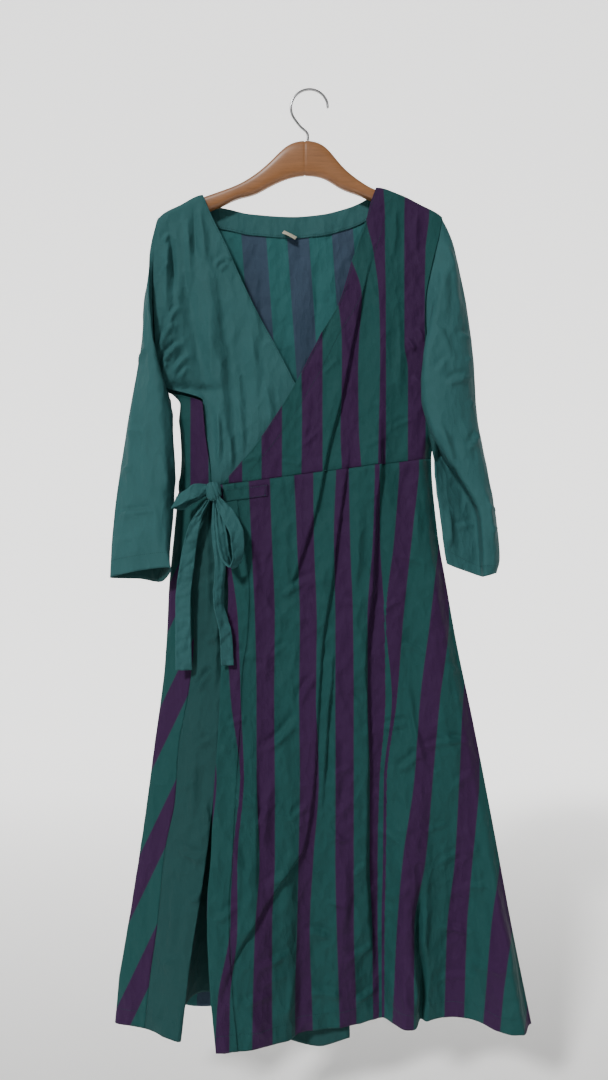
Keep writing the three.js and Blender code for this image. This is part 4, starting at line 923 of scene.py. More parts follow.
class Field:
    """A value or a colour that a material works out over a surface, in ordinary arithmetic."""

    def __init__(self, tree, socket):
        self.tree = tree
        self.socket = socket

    def node(self, kind, settings=None, inputs=None, output=0):
        """Adds a node of a kind, with its settings first, then its sockets' values or links."""
        made = self.tree.nodes.new(kind)
        for name, value in (settings or {}).items():
            setattr(made, name, value)
        for key, value in (inputs or {}).items():
            if isinstance(value, Field):
                self.tree.links.new(value.socket, made.inputs[key])
            else:
                made.inputs[key].default_value = value
        return Field(self.tree, made.outputs[output])

    def maths(self, operation, *others, clamp=False):
        settings = {"operation": operation, "use_clamp": clamp}
        return self.node("ShaderNodeMath", settings, dict(enumerate((self, *others))))

    def __add__(self, other):
        return self.maths("ADD", other)

    def __radd__(self, other):
        return self.maths("ADD", other)

    def __sub__(self, other):
        return self.maths("SUBTRACT", other)

    def __rsub__(self, other):
        return self.node("ShaderNodeMath", {"operation": "SUBTRACT"}, {0: other, 1: self})

    def __mul__(self, other):
        return self.maths("MULTIPLY", other)

    def __rmul__(self, other):
        return self.maths("MULTIPLY", other)

    def __truediv__(self, other):
        return self.maths("DIVIDE", other)

    def clamped(self):
        return self.maths("ADD", 0.0, clamp=True)

    def blend(self, low, high):
        """The colour low where this is 0, and high where it is 1."""
        inputs = {"Factor": self}
        made = self.node("ShaderNodeMix", {"data_type": "RGBA"}, inputs, 2)
        mix = made.socket.node
        for name, colour in (("A", low), ("B", high)):
            socket = [s for s in mix.inputs if s.name == name and s.type == "RGBA"][0]
            if isinstance(colour, Field):
                self.tree.links.new(colour.socket, socket)
            else:
                socket.default_value = (*colour, 1.0)
        return made

    def scaled(self, factors):
        """A place, stretched by a factor in each direction."""
        return self.node("ShaderNodeVectorMath", {"operation": "MULTIPLY"}, {0: self, 1: factors})

    def part(self, axis):
        return self.node("ShaderNodeSeparateXYZ", None, {0: self}, axis)

    def noise(self, scale, detail=2.0, roughness=0.5):
        """Uneven patches from 0 to 1, that many to a metre."""
        return self.node("ShaderNodeTexNoise", None, {
            "Vector": self, "Scale": scale, "Detail": detail, "Roughness": roughness})

    def cells(self, scale):
        """Crumple with sharp creases: the distance to the nearest of scattered points, bent by noise."""
        bent = self.node("ShaderNodeTexNoise", None, {"Vector": self, "Scale": scale * 0.7, "Detail": 1.0}, 1)
        moved = self.node("ShaderNodeVectorMath", {"operation": "MULTIPLY_ADD"}, {
            0: bent, 1: (0.6 / scale, 0.6 / scale, 0.6 / scale), 2: self})
        squashed = moved.scaled((1.0, 1.0, 0.45))
        return self.node("ShaderNodeTexVoronoi", None, {"Vector": squashed, "Scale": scale})

    def bump(self, strength, distance):
        return self.node("ShaderNodeBump", None, {"Height": self, "Strength": strength, "Distance": distance})


class Finish:
    """A new material, with the places that its patterns read and its one shader."""

    def __init__(self, name):
        self.material = bpy.data.materials.new(name)
        self.material.use_nodes = True
        tree = self.material.node_tree
        self.tree = tree
        self.shader = next(n for n in tree.nodes if n.type == "BSDF_PRINCIPLED")
        places = tree.nodes.new("ShaderNodeTexCoord")
        self.place = Field(tree, places.outputs["Object"])
        self.cloth = Field(tree, places.outputs["UV"])

    def set(self, **sockets):
        for name, value in sockets.items():
            socket = self.shader.inputs[name.replace("_", " ")]
            if isinstance(value, Field):
                self.tree.links.new(value.socket, socket)
            else:
                socket.default_value = value
        return self.material


def darker(colour, share):
    return tuple(channel * share for channel in colour)


# Colours in linear light.
GREEN = (0.0235, 0.087, 0.090)
# SHADED_GREEN is the plain green darkened: painted shade for the panel under the lapped-over front and for the
# insides of the sleeves.
SHADED_GREEN = (0.0100, 0.048, 0.0475)
STRIPE_GREEN = (0.0084, 0.0545, 0.0525)
STRIPE_PURPLE = (0.0288, 0.0074, 0.0415)
INSIDE_GREEN = (0.0180, 0.092, 0.093)
INSIDE_NAVY = (0.0292, 0.0505, 0.082)


def yarn(finish, colour_of):
    """The surface of woven cloth: a fine uneven grain, slubs that run down the cloth and across it, and
    broad patches of wear, in the colour and the bump."""
    down = finish.cloth.scaled((1.0, 0.07, 1.0)).noise(900.0, 2.0)
    level = finish.cloth.scaled((0.07, 1.0, 1.0)).noise(900.0, 2.0)
    grain = finish.place.noise(620.0, 3.0, 0.6)
    patches = finish.place.noise(17.0, 3.0)
    tone = (down + level - 1.0) * 0.22 + (grain - 0.5) * 0.16 + (patches - 0.5) * 0.22
    shade = (tone + 0.5).clamped()
    creases = finish.place.cells(44.0) * 0.6 + finish.place.cells(120.0) * 0.16
    height = (down + level) * 0.03 + grain * 0.03 + creases
    return finish.set(
        Base_Color=colour_of(shade),
        Roughness=(patches - 0.5) * 0.12 + 0.80,
        Normal=height.bump(1.0, 0.0062),
        Sheen_Weight=0.03,
        Sheen_Tint=(0.30, 0.60, 0.62, 1.0),
        Sheen_Roughness=0.45,
        Specular_IOR_Level=0.20,
    )


def plain_cloth(name, colour):
    return yarn(Finish(name), lambda shade: shade.blend(darker(colour, 0.84), darker(colour, 1.16)))


def striped_cloth(name, purple, green):
    """Two colours of stripe along the cloth, purple within half its width of its middle, the edge soft
    over one yarn."""
    finish = Finish(name)
    repeats = finish.cloth.part(0) / (REPEAT * MM)
    half = PURPLE / REPEAT / 2
    from_middle = ((repeats - (half - 0.5)).maths("FRACT") - 0.5).maths("ABSOLUTE")
    soft = 1.1 / REPEAT
    is_purple = ((half - from_middle) / soft + 0.5).clamped()

    def stripes(shade):
        low = is_purple.blend(darker(green, 0.84), darker(purple, 0.84))
        high = is_purple.blend(darker(green, 1.16), darker(purple, 1.16))
        return shade.blend(low, high)

    return yarn(finish, stripes)


def beech(name, pale, dark):
    """Lacquered beech: long grain along the arms, short flecks, and a slow change of tone."""
    finish = Finish(name)
    along = finish.place.scaled((1.0, 14.0, 14.0))
    grain = along.noise(22.0, 4.0, 0.6)
    flecks = finish.place.scaled((1.0, 9.0, 9.0)).noise(130.0, 2.0)
    patches = finish.place.noise(14.0, 2.0)
    figure = (grain * 0.55 + flecks * 0.25 + patches * 0.35 - 0.12).clamped()
    return finish.set(
        Base_Color=figure.blend(dark, pale),
        Roughness=(flecks - 0.5) * 0.10 + 0.36,
        Normal=(grain * 0.5 + flecks * 0.5).bump(0.12, 0.0003),
        Coat_Weight=0.25,
        Coat_Roughness=0.22,
    )


def polished_steel(name):
    """Bright wire: faint drawn lines and smears in its gloss."""
    finish = Finish(name)
    smears = finish.place.noise(160.0, 3.0)
    lines = finish.place.noise(900.0, 2.0)
    return finish.set(
        Base_Color=smears.blend((0.34, 0.34, 0.35), (0.52, 0.52, 0.53)),
        Metallic=1.0,
        Roughness=(smears - 0.5) * 0.12 + 0.26,
        Normal=lines.bump(0.05, 0.0002),
    )


def woven_tape(name, colour):
    finish = Finish(name)
    ribs = (finish.cloth.part(1) * (2 * math.pi / 0.0006)).maths("SINE")
    threads = finish.cloth.scaled((0.1, 1.0, 1.0)).noise(2500.0)
    shade = (ribs * 0.12 + threads * 0.3 + 0.35).clamped()
    return finish.set(
        Base_Color=shade.blend(darker(colour, 0.8), darker(colour, 1.12)),
        Roughness=0.75,
        Normal=(ribs * 0.3 + threads * 0.3).bump(0.3, 0.0002),
    )


def grid_faces(rows, columns, around, outwards):
    """Quads between the points of a grid, turned to face outwards."""
    row, column = np.mgrid[:rows - 1, :columns if around else columns - 1]
    right = (column + 1) % columns
    faces = np.stack([row * columns + column, (row + 1) * columns + column,
                      (row + 1) * columns + right, row * columns + right], axis=-1).reshape(-1, 4)
    corners = np.stack([np.stack([row, column], -1), np.stack([row + 1, column], -1),
                        np.stack([row + 1, column + 1], -1), np.stack([row, column + 1], -1)], axis=2)
    corners = corners.reshape(-1, 4, 2)
    if outwards > 0:
        return faces[:, ::-1], corners[:, ::-1]
    return faces, corners


def add_piece(name, positions, faces, uv, finishes, nodes):
    """Puts a mesh into the scene in metres, with a UV for each face corner, and sets it on the frame."""
    mesh = bpy.data.meshes.new(name)
    mesh.from_pydata((positions * MM).tolist(), [], [list(face) for face in faces])
    if uv is not None:
        mesh.uv_layers.new(name="cloth").data.foreach_set("uv", np.ascontiguousarray(uv, np.float32).ravel())
    mesh.polygons.foreach_set("use_smooth", np.ones(len(mesh.polygons), bool))
    for finish in finishes:
        mesh.materials.append(finish)
    mesh.update()
    piece = bpy.data.objects.new(name, mesh)
    bpy.context.scene.collection.objects.link(piece)
    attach(piece, "root")
    if nodes:
        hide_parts(*nodes)
    return piece


def cloth_piece(node, points, uv, finishes, outwards, around=False, thick=CLOTH):
    """A sheet of cloth from a grid of points: its right side outwards, and its wrong side within."""
    rows, columns = points.shape[:2]
    faces, corners = grid_faces(rows, columns, around, outwards)
    corner_uv = uv[corners[..., 0], corners[..., 1]]
    piece = add_piece(f"cloth_{node}", points.reshape(-1, 3), faces.tolist(), corner_uv, finishes, [node])
    wall = piece.modifiers.new("thickness", "SOLIDIFY")
    wall.thickness = thick * MM
    wall.offset = 0.0
    wall.use_quality_normals = True
    if len(finishes) > 1:
        wall.material_offset = 1
    return piece


def flat_size(points, around=False):
    """Width and length of the cut, and its area, measured over the grid, in metres."""
    across = np.linalg.norm(np.diff(points, axis=1), axis=-1).sum(axis=1)
    if around:
        across = across + np.linalg.norm(points[:, 0] - points[:, -1], axis=-1)
    down = np.linalg.norm(np.diff(points, axis=0), axis=-1).sum(axis=0)
    a = points[1:, 1:] - points[:-1, :-1]
    b = points[1:, :-1] - points[:-1, 1:]
    area = np.linalg.norm(np.cross(a, b), axis=-1).sum() / 2
    if around:
        wrapped = np.concatenate([points[:, -1:], points[:, :1]], axis=1)
        a = wrapped[1:, 1:] - wrapped[:-1, :-1]
        b = wrapped[1:, :-1] - wrapped[:-1, 1:]
        area += np.linalg.norm(np.cross(a, b), axis=-1).sum() / 2
    return across.max() * MM, down.max() * MM, area * MM * MM


def closed_piece(name, rings, finishes, nodes, uv=None):
    """A solid from rings of points, one after another, with its two ends closed by the end rings."""
    count, sides = rings.shape[:2]
    faces, corners = grid_faces(count, sides, True, 1)
    faces = faces.tolist() + [list(range(sides))[::-1], [(count - 1) * sides + i for i in range(sides)]]
    corner_uv = None
    if uv is not None:
        around = np.concatenate([uv, uv[:, :1]], axis=1)
        ends = np.concatenate([uv[0][::-1], uv[-1]])
        corner_uv = np.concatenate([around[corners[..., 0], corners[..., 1]].reshape(-1, 2), ends])
    positions = rings.reshape(-1, 3)
    volume = solid_volume(positions, faces)
    if volume < 0:
        faces = [face[::-1] for face in faces]
        if corner_uv is not None:
            lengths = [len(face) for face in faces]
            starts = np.concatenate([[0], np.cumsum(lengths)])
            order = np.concatenate([np.arange(a, b)[::-1] for a, b in zip(starts[:-1], starts[1:])])
            corner_uv = corner_uv[order]
    return add_piece(name, positions, faces, corner_uv, finishes, nodes)


def solid_volume(positions, faces):
    """Six times the volume that the faces enclose: the sum of the triple products of their corners."""
    quads = np.array([face for face in faces if len(face) == 4])
    a, b, c, d = (positions[quads[:, i]] for i in range(4))
    total = (a * np.cross(b, c)).sum() + (a * np.cross(c, d)).sum()
    for face in faces:
        if len(face) != 4:
            ring = positions[face]
            total += (ring[0] * np.cross(ring[1:-1], ring[2:])).sum()
    return total


# The ties: rows along each, with the direction of their width there, and that width.
TIE_COLUMNS = "x y z acrossX acrossY acrossZ width"
BOW = {
    "waist_tie_loop_left": table(TIE_COLUMNS, [
        [-135.3, -39.6, -552.5, 0.1, 0.1, 1, 14], [-152, -48, -556, 0.15, 0.3, 1, 22],
        [-168, -48, -565, 0.35, 0.4, 1, 23], [-178, -42, -570, 0.4, 0.6, 1, 20],
        [-168, -36, -571, 0.3, 0.4, 1, 20], [-152, -34, -563, 0.2, 0.2, 1, 18],
        [-136.3, -35.6, -556, 0.1, 0.1, 1, 12],
    ]),
    "waist_tie_loop_right": table(TIE_COLUMNS, [
        [-120.9, -40.9, -563.4, 1, 0.1, 0.7, 7], [-107, -50, -585, 1, 0.3, 0.6, 18],
        [-93, -56, -615, 1, 0.5, 0.4, 20], [-92, -57, -640, 0.9, 0.7, -0.1, 18],
        [-101, -55, -656, 0.25, 0.95, -0.1, 15], [-110, -52, -640, 0.8, 0.6, 0.1, 15],
        [-115, -49, -610, 1, 0.3, 0.1, 14], [-120, -46, -577, 1, 0.1, 0.2, 8],
    ]),
    "waist_tie_tail_left": table(TIE_COLUMNS, [
        [-134.1, -37.4, -566.4, 1, 0.1, 0.3, 8], [-152, -36, -600, 1, 0.1, 0.3, 17],
        [-162, -33, -650, 1, 0.1, 0.1, 20], [-168, -31, -710, 1, -0.1, 0, 21],
        [-167, -30, -795, 1, 0.1, 0, 22],
    ]),
    "waist_tie_tail_right": table(TIE_COLUMNS, [
        [-123.5, -38, -566.6, 1, 0, 0, 8], [-122, -38, -610, 1, 0.1, 0, 14], [-117, -41, -655, 1, 0.3, 0, 15],
        [-119, -45, -700, 0.7, 0.6, 0, 16], [-109, -47, -745, 0.9, 0.4, 0, 17], [-107, -46, -786, 1, 0.2, 0, 17],
    ]),
}
TIE = {"thick": 1.9, "width": 22.0, "sides": 36, "steps": 150, "pleat": 1.3, "seam_edge": 0.35}
# Small dents across the free end of the left tail: z and depth.
TAIL_DENTS = [(-669, 0.7), (-693, 0.8), (-709, 0.7), (-728, 0.8), (-747, 0.7), (-620, 0.6)]


def tie_rings(route, dents, seed):
    """A flat tube of cloth carried along a route. Across its width the tube is a flattened ring; it is
    pleated lengthwise where it is drawn in towards the knot, its seam edges are a little thicker, and
    small dents and unevenness bend it."""
    share = np.linspace(0, 1, TIE["steps"] + 1)
    keys = np.linspace(0, 1, len(route["x"]))
    cell = {name: curve(keys, route[name], share) for name in route}
    centre = xyz(cell["x"], cell["y"], cell["z"])
    across = xyz(cell["acrossX"], cell["acrossY"], cell["acrossZ"])
    across /= np.linalg.norm(across, axis=-1, keepdims=True)
    along = np.gradient(centre, axis=0)
    face = np.cross(across, along)
    face /= np.linalg.norm(face, axis=-1, keepdims=True)
    angle = np.linspace(0, 2 * np.pi, TIE["sides"], endpoint=False)
    place = np.sign(np.cos(angle)) * np.abs(np.cos(angle)) ** 0.75
    height = np.sign(np.sin(angle)) * np.abs(np.sin(angle)) ** 0.45
    gather = smooth((TIE["width"] - 3 - cell["width"]) / 9)[:, None]
    length = np.concatenate([[0], np.cumsum(np.linalg.norm(np.diff(centre, axis=0), axis=-1))])[:, None]
    pleats = TIE["pleat"] * gather * np.cos(place[None, :] * 7.0 + 0.6 * seed)
    uneven = 0.6 * crumple(length + 0 * place, place * 9 + 40, 17, seed) * (1 - 0.5 * gather)
    uneven = uneven + 3.0 * (facets(length + 4 * place, place * 9 + 30, 13, seed + 9) - 0.2)
    dent = sum(-deep * bump(cell["z"][:, None] - at, 3.2) * bump(place[None, :] + 0.1, 0.8) for at, deep in dents)
    half = TIE["thick"] / 2 + TIE["seam_edge"] * bump(np.abs(place) - 0.86, 0.1)
    out = pleats + uneven + dent + half * height
    rings = (centre[:, None] + across[:, None] * (place[None, :, None] * cell["width"][:, None, None] / 2)
             + face[:, None] * out[..., None])
    return rings, fabric(place[None, :] * 11 + 0 * length, length + 0 * place[None, :])


KNOT = {"x": -126.0, "y": -38.4, "z": -555.0, "wide": 21.0, "deep": 15.0, "tall": 26.0}


def knot_rings(sides=64, rows=48):
    """The knot: a rounded box of cloth with pleats that run slantwise round it, and one deep crease
    where the strap passes over."""
    turn = np.linspace(0, 2 * np.pi, sides, endpoint=False)[None, :]
    lat = np.linspace(-0.985, 0.985, rows)[:, None] * np.pi / 2

    def rounded(value, power):
        return np.sign(value) * np.abs(value) ** power

    x = rounded(np.cos(turn), 0.85) * rounded(np.cos(lat), 0.7) / 2
    y = rounded(np.sin(turn), 0.85) * rounded(np.cos(lat), 0.7) / 2
    z = rounded(np.sin(lat), 0.85) / 2 + 0 * turn
    slant = x + 0.45 * z
    pleats = 1 + 0.045 * np.cos(slant * 30) * np.cos(lat) - 0.13 * bump(slant - 0.08, 0.055)
    return xyz(x * KNOT["wide"] * pleats + KNOT["x"], y * KNOT["deep"] * pleats + KNOT["y"],
               z * KNOT["tall"] * (0.5 + 0.5 * pleats) + KNOT["z"])


TIE_BASE = {"left": -115.0, "right": -54.0, "top": -549.5, "bottom": -565.0, "x": -85.0, "lift": 1.1}


def tie_base(columns, rows):
    """The end of the tie where it is stitched to the lapped-over panel, lying on the panel."""
    x = np.linspace(TIE_BASE["left"], TIE_BASE["right"], columns)[None, :]
    level = np.linspace(TIE_BASE["top"], TIE_BASE["bottom"], rows)[:, None]
    z = level + WAIST["slope"] * (x - TIE_BASE["x"])
    pressed = 0.4 * bump(x - TIE_BASE["right"] - 5, 4)
    return over_skirt_at(x, z) + xyz(0, pressed - TIE_BASE["lift"], 0)


HANGER = table("x top bottom half", [
    [-184, -167, -182, 4], [-178, -162.6, -186, 6], [-160, -154.3, -177, 7], [-145, -148.1, -170, 7],
    [-119, -139, -160, 7], [-97, -131, -149, 7], [-75, -118, -145, 7], [-52, -99, -132, 7],
    [-41, -87, -127, 7], [-30, -76, -122, 7], [-18, -71, -119, 7], [0, -69, -117, 7], [18, -73, -120, 7],
    [30, -82, -124, 7], [36, -92, -131, 7], [47, -106, -137, 7], [69, -124, -144, 7], [92, -138, -154, 7],
    [120, -144.1, -164, 7], [150, -158.2, -177, 7], [172, -170, -187, 6], [180, -177, -189, 4],
])
HANGER_ROUNDING = 0.7
HANGER_EVEN = 12.0
JOINT_X = -4.5


def hanger_rings(stations=220, sides=56):
    """A rounded section, between an ellipse and a box, carried from tip to tip between the hanger's top
    and bottom outlines, closing in a quarter ellipse at each tip, with a fine joint in the middle."""
    x = np.concatenate([np.linspace(-184, -180, 10), np.linspace(-180, 176, stations)[1:-1],
                        np.linspace(176, 180, 10)])
    turn = np.linspace(0, 2 * np.pi, sides, endpoint=False)
    tip = np.minimum(np.clip((x + 184) / 4, 0.02, 1), np.clip((180 - x) / 4, 0.02, 1))
    tip = np.sqrt(1 - (1 - tip) ** 2) * (1 - 0.05 * bump(x - JOINT_X, 0.9))
    top, bottom, half = (np.interp(x, HANGER["x"], HANGER[name]) for name in ("top", "bottom", "half"))
    soft_top, soft_bottom = (read(HANGER, "x", name, x) for name in ("top", "bottom"))
    top, bottom = lerp(top, soft_top, 0.8), lerp(bottom, soft_bottom, 0.8)
    even = np.exp(-((x[:, None] - x[None, :]) / HANGER_EVEN) ** 2) * np.gradient(x)[None, :]
    even /= even.sum(axis=1, keepdims=True)
    inner = smooth((np.minimum(x + 184, 180 - x) - 4) / 30)
    top, bottom = (lerp(line, even @ line, inner) for line in (top, bottom))

    def rounded(value):
        return np.sign(value) * np.abs(value) ** HANGER_ROUNDING

    y = half[:, None] * tip[:, None] * rounded(np.cos(turn))
    z = ((top + bottom) / 2)[:, None] + ((top - bottom) / 2 * tip)[:, None] * rounded(np.sin(turn))
    return xyz(x[:, None], y, z)


HOOK = {"wire": 3.5, "loop": 25.5, "from": -2.0, "to": 205.0}
HOOK_STEM = [(-11, -49), (-1, -59), (0, -68.6)]


def hook_rings(stations=180, sides=28):
    """Round wire along the hook's loop and stem, with a domed tip."""
    angle = np.radians(np.linspace(HOOK["from"], HOOK["to"], 10))
    loop = [(2 + HOOK["loop"] * math.cos(a), HOOK["wire"] / 2 - HOOK["loop"] + HOOK["loop"] * math.sin(a))
            for a in angle]
    route = np.array([(x, 0.0, z) for x, z in loop + HOOK_STEM])[:, None, :]
    centre = spline(route, np.linspace(0, 1, stations))
    along = np.gradient(centre, axis=0)
    along[-1] = (0, 0, -1)
    out = np.cross((0.0, 1.0, 0.0), along)
    out /= np.linalg.norm(out, axis=-1, keepdims=True)
    length = np.concatenate([[0], np.cumsum(np.linalg.norm(np.diff(centre, axis=0), axis=-1))])
    dome = np.clip(length / (HOOK["wire"] / 2), 0.0, 1)
    radius = HOOK["wire"] / 2 * np.sqrt(np.clip(1 - (1 - dome) ** 2, 0.01, 1))
    turn = np.linspace(0, 2 * np.pi, sides, endpoint=False)
    rings = centre[:, None] + out[:, None] * (radius[:, None] * np.cos(turn))[..., None]
    rings[..., 1] += radius[:, None] * np.sin(turn)
    return rings


FACING = {"deep": 30.0, "left": -138.0, "right": 90.0, "behind": 1.3}
LABEL = {"x": -25.5, "z": -197.0, "wide": 20.0, "tall": 6.5, "tilt": -0.45, "behind": 1.15, "out": 7.0}


def facing_y(x, z):
    top = read(BACK_NECK_LINE, "x", "z", x)
    return back_y(x, z) + back_neck_lift(x, z, top) - FACING["behind"]


def neck_facing(columns, rows):
    """The facing inside the back neck: a band that follows the neckline."""
    x = np.linspace(FACING["left"], FACING["right"], columns)[None, :]
    down = np.linspace(0.02, 1, rows)[:, None]
    z = read(BACK_NECK_LINE, "x", "z", x) - down * FACING["deep"]
    return xyz(x, facing_y(x, z) - 0.3 * bump(down - 0.98, 0.03), z)


def neck_label(columns, rows):
    """A short tape, tilted, sewn down along its upper edge and standing out below."""
    across = np.linspace(-0.5, 0.5, columns)[None, :] * LABEL["wide"]
    up = np.linspace(0.5, -0.5, rows)[:, None] * LABEL["tall"]
    x = LABEL["x"] + across * math.cos(LABEL["tilt"]) - up * math.sin(LABEL["tilt"])
    z = LABEL["z"] + across * math.sin(LABEL["tilt"]) + up * math.cos(LABEL["tilt"])
    lifted_edge = LABEL["out"] * (0.5 - up / LABEL["tall"]) * (1 + 0.15 * np.cos(across / 5))
    return xyz(x, facing_y(x, z) - LABEL["behind"] - lifted_edge, z)


def sample(grid, across, down):
    """A grid's points between its own, by shares of its width and length."""
    rows, columns = grid.shape[:2]
    r, c = np.clip(down, 0, 1) * (rows - 1), np.clip(across, 0, 1) * (columns - 1)
    i, j = np.minimum(r.astype(int), rows - 2), np.minimum(c.astype(int), columns - 2)
    s, t = (r - i)[:, None], (c - j)[:, None]
    return lerp(lerp(grid[i, j], grid[i, j + 1], t), lerp(grid[i + 1, j], grid[i + 1, j + 1], t), s)


STITCH = {"pitch": 3.0, "long": 2.1, "half": 0.28, "out": 0.42}


def stitch_row(grid, across, down, outwards, thick=CLOTH):
    """Stitches along a line on a grid of cloth: short rounded bars at an even pitch, on its right side."""
    line = sample(grid, across, down)
    normal = sample(normals(grid) * outwards, across, down)
    length = np.concatenate([[0], np.cumsum(np.linalg.norm(np.diff(line, axis=0), axis=-1))])
    starts = np.arange(0, length[-1] - STITCH["long"], STITCH["pitch"])
    stations = np.array([0.0, 0.12, 0.5, 0.88, 1.0])
    high = np.array([0.1, 0.8, 1.0, 0.8, 0.1])
    at = starts[:, None] + stations[None, :] * STITCH["long"]
    centre = np.stack([np.interp(at, length, line[:, k]) for k in range(3)], axis=-1)
    out = np.stack([np.interp(at, length, normal[:, k]) for k in range(3)], axis=-1)
    along = np.gradient(centre, axis=1)
    side = np.cross(out, along)
    side /= np.maximum(np.linalg.norm(side, axis=-1, keepdims=True), 1e-9)
    turn = np.linspace(0, 2 * np.pi, 6, endpoint=False)
    centre = centre + out * (thick / 2)
    ring = (centre[..., None, :] + side[..., None, :] * (np.cos(turn)[:, None] * STITCH["half"])
            * high[None, :, None, None]
            + out[..., None, :] * (np.sin(turn)[:, None] * STITCH["out"] * high[None, :, None, None]))
    return ring


def stitch_piece(rows, finish):
    """All the stitches of one thread as one mesh, each with its ends closed."""
    rings = np.concatenate(rows)
    count, stations, sides = rings.shape[:3]
    faces, _ = grid_faces(stations, sides, True, 1)
    caps = [list(range(sides))[::-1], [(stations - 1) * sides + i for i in range(sides)]]
    if solid_volume(rings[0].reshape(-1, 3), faces.tolist() + caps) < 0:
        faces = faces[:, ::-1]
        caps = [cap[::-1] for cap in caps]
    shift = np.arange(count)[:, None, None] * (stations * sides)
    quads = (faces[None] + shift).reshape(-1, 4).tolist()
    ends = (np.array(caps)[None] + shift).reshape(-1, sides).tolist()
    return add_piece("stitching", rings.reshape(-1, 3), quads + ends, None, [finish], [])


# The camera at the photograph's eye point, and soft light from above on the left.
camera = bpy.data.objects.new("camera", bpy.data.cameras.new("camera"))
camera.data.sensor_fit = "AUTO"
camera.data.sensor_width = SENSOR
camera.data.lens = SENSOR / 2 * -EYE["y"] / HALF_FRAME
camera.data.clip_start = 0.05
camera.data.clip_end = 60.0
camera.location = (EYE["x"] * MM, EYE["y"] * MM, EYE["z"] * MM)
camera.rotation_euler = (math.radians(90), 0.0, 0.0)
bpy.context.scene.collection.objects.link(camera)
bpy.context.scene.camera = camera


SUN = {"from": (-0.60, -1.0, 0.88), "strength": 3.25, "angle": 8.0}
daylight = bpy.data.objects.new("window_light", bpy.data.lights.new("window_light", "SUN"))
daylight.data.energy = SUN["strength"]
daylight.data.angle = math.radians(SUN["angle"])
flat = math.hypot(SUN["from"][0], SUN["from"][1])
daylight.rotation_euler = (math.atan2(flat, SUN["from"][2]), 0.0, math.atan2(SUN["from"][0], -SUN["from"][1]))
bpy.context.scene.collection.objects.link(daylight)
world = bpy.data.worlds.new("studio")
world.use_nodes = True
background = next(node for node in world.node_tree.nodes if node.type == "BACKGROUND")
background.inputs["Color"].default_value = (1.0, 0.995, 0.985, 1.0)
background.inputs["Strength"].default_value = 0.20
bpy.context.scene.world = world

SWEEP = {"floor": -1450.0, "front": -7000.0, "wall": 3600.0, "round": 1400.0, "top": 5200.0, "half": 8000.0}


def sweep_mesh():
    """A pale floor that curves up into a wall far behind: its profile is a level line, a quarter circle
    and an upright line."""
    turn = np.linspace(0, np.pi / 2, 33)
    y = np.concatenate([[SWEEP["front"]], SWEEP["wall"] - SWEEP["round"] * (1 - np.sin(turn)), [SWEEP["wall"]]])
    z = np.concatenate([[SWEEP["floor"]], SWEEP["floor"] + SWEEP["round"] * (1 - np.cos(turn)), [SWEEP["top"]]])
    points = np.stack([xyz(side * SWEEP["half"], y, z) for side in (-1, 1)], axis=1)
    faces, _ = grid_faces(len(y), 2, False, -1)
    mesh = bpy.data.meshes.new("pale_floor")
    mesh.from_pydata((points.reshape(-1, 3) * MM).tolist(), [], faces.tolist())
    mesh.polygons.foreach_set("use_smooth", np.ones(len(mesh.polygons), bool))
    return mesh


floor = bpy.data.objects.new("pale_floor", sweep_mesh())
paint = Finish("pale_paint")
floor.data.materials.append(paint.set(
    Base_Color=paint.place.noise(1.2).blend((0.80, 0.795, 0.785), (0.84, 0.835, 0.825)), Roughness=0.9,
    Emission_Color=(paint.place.part(1) * 0.62).clamped().blend((0.0, 0.0, 0.0), (1.0, 0.995, 0.985)),
    Emission_Strength=1.02))
bpy.context.scene.collection.objects.link(floor)

green = plain_cloth("green_weave", GREEN)
green_inside = plain_cloth("green_weave_inside", INSIDE_GREEN)
# The plain green in a darker copy: painted shade, not a different cloth.
green_painted_shade = plain_cloth("green_weave_painted_shade", SHADED_GREEN)
stripes = striped_cloth("striped_weave", STRIPE_PURPLE, STRIPE_GREEN)
stripes_inside = striped_cloth("striped_weave_inside", INSIDE_NAVY, INSIDE_GREEN)
thread = plain_cloth("green_thread", (0.010, 0.046, 0.048))


def sew(node, points, uv, finishes, outwards, around=False, thick=CLOTH, cut=None):
    """Makes a sheet of cloth and measures its cut, which it does not pass on."""
    piece = cloth_piece(node, points, uv, finishes, outwards, around, thick)
    wide, long, area = flat_size(points, around)
    wide, long = cut or (wide, long)
    return points


over = over_bodice(130, 170)
sew("bodice_front_over", over, fabric(front_width(BODICE_STRIPES, over), over[..., 2]),
    [stripes, stripes_inside], -1)
under = under_bodice(115, 170)
sew("bodice_front_under", under, plain_uv(under), [green, green_inside], -1)
back = back_bodice(155, 135)
sew("bodice_back", back, back_bodice_uv(back), [stripes, stripes_inside], 1)
panel = over_skirt(190, 255)
sew("skirt_front_over", panel, fabric(front_width(SKIRT_STRIPES, panel), panel[..., 2]),
    [stripes, stripes_inside], -1)
border = over_border(14, 255)
sew("skirt_front_over_border", border, fabric(front_width(SKIRT_STRIPES, border), border[..., 2]),
    [stripes, green_inside], -1)
lower = under_skirt(120, 210)
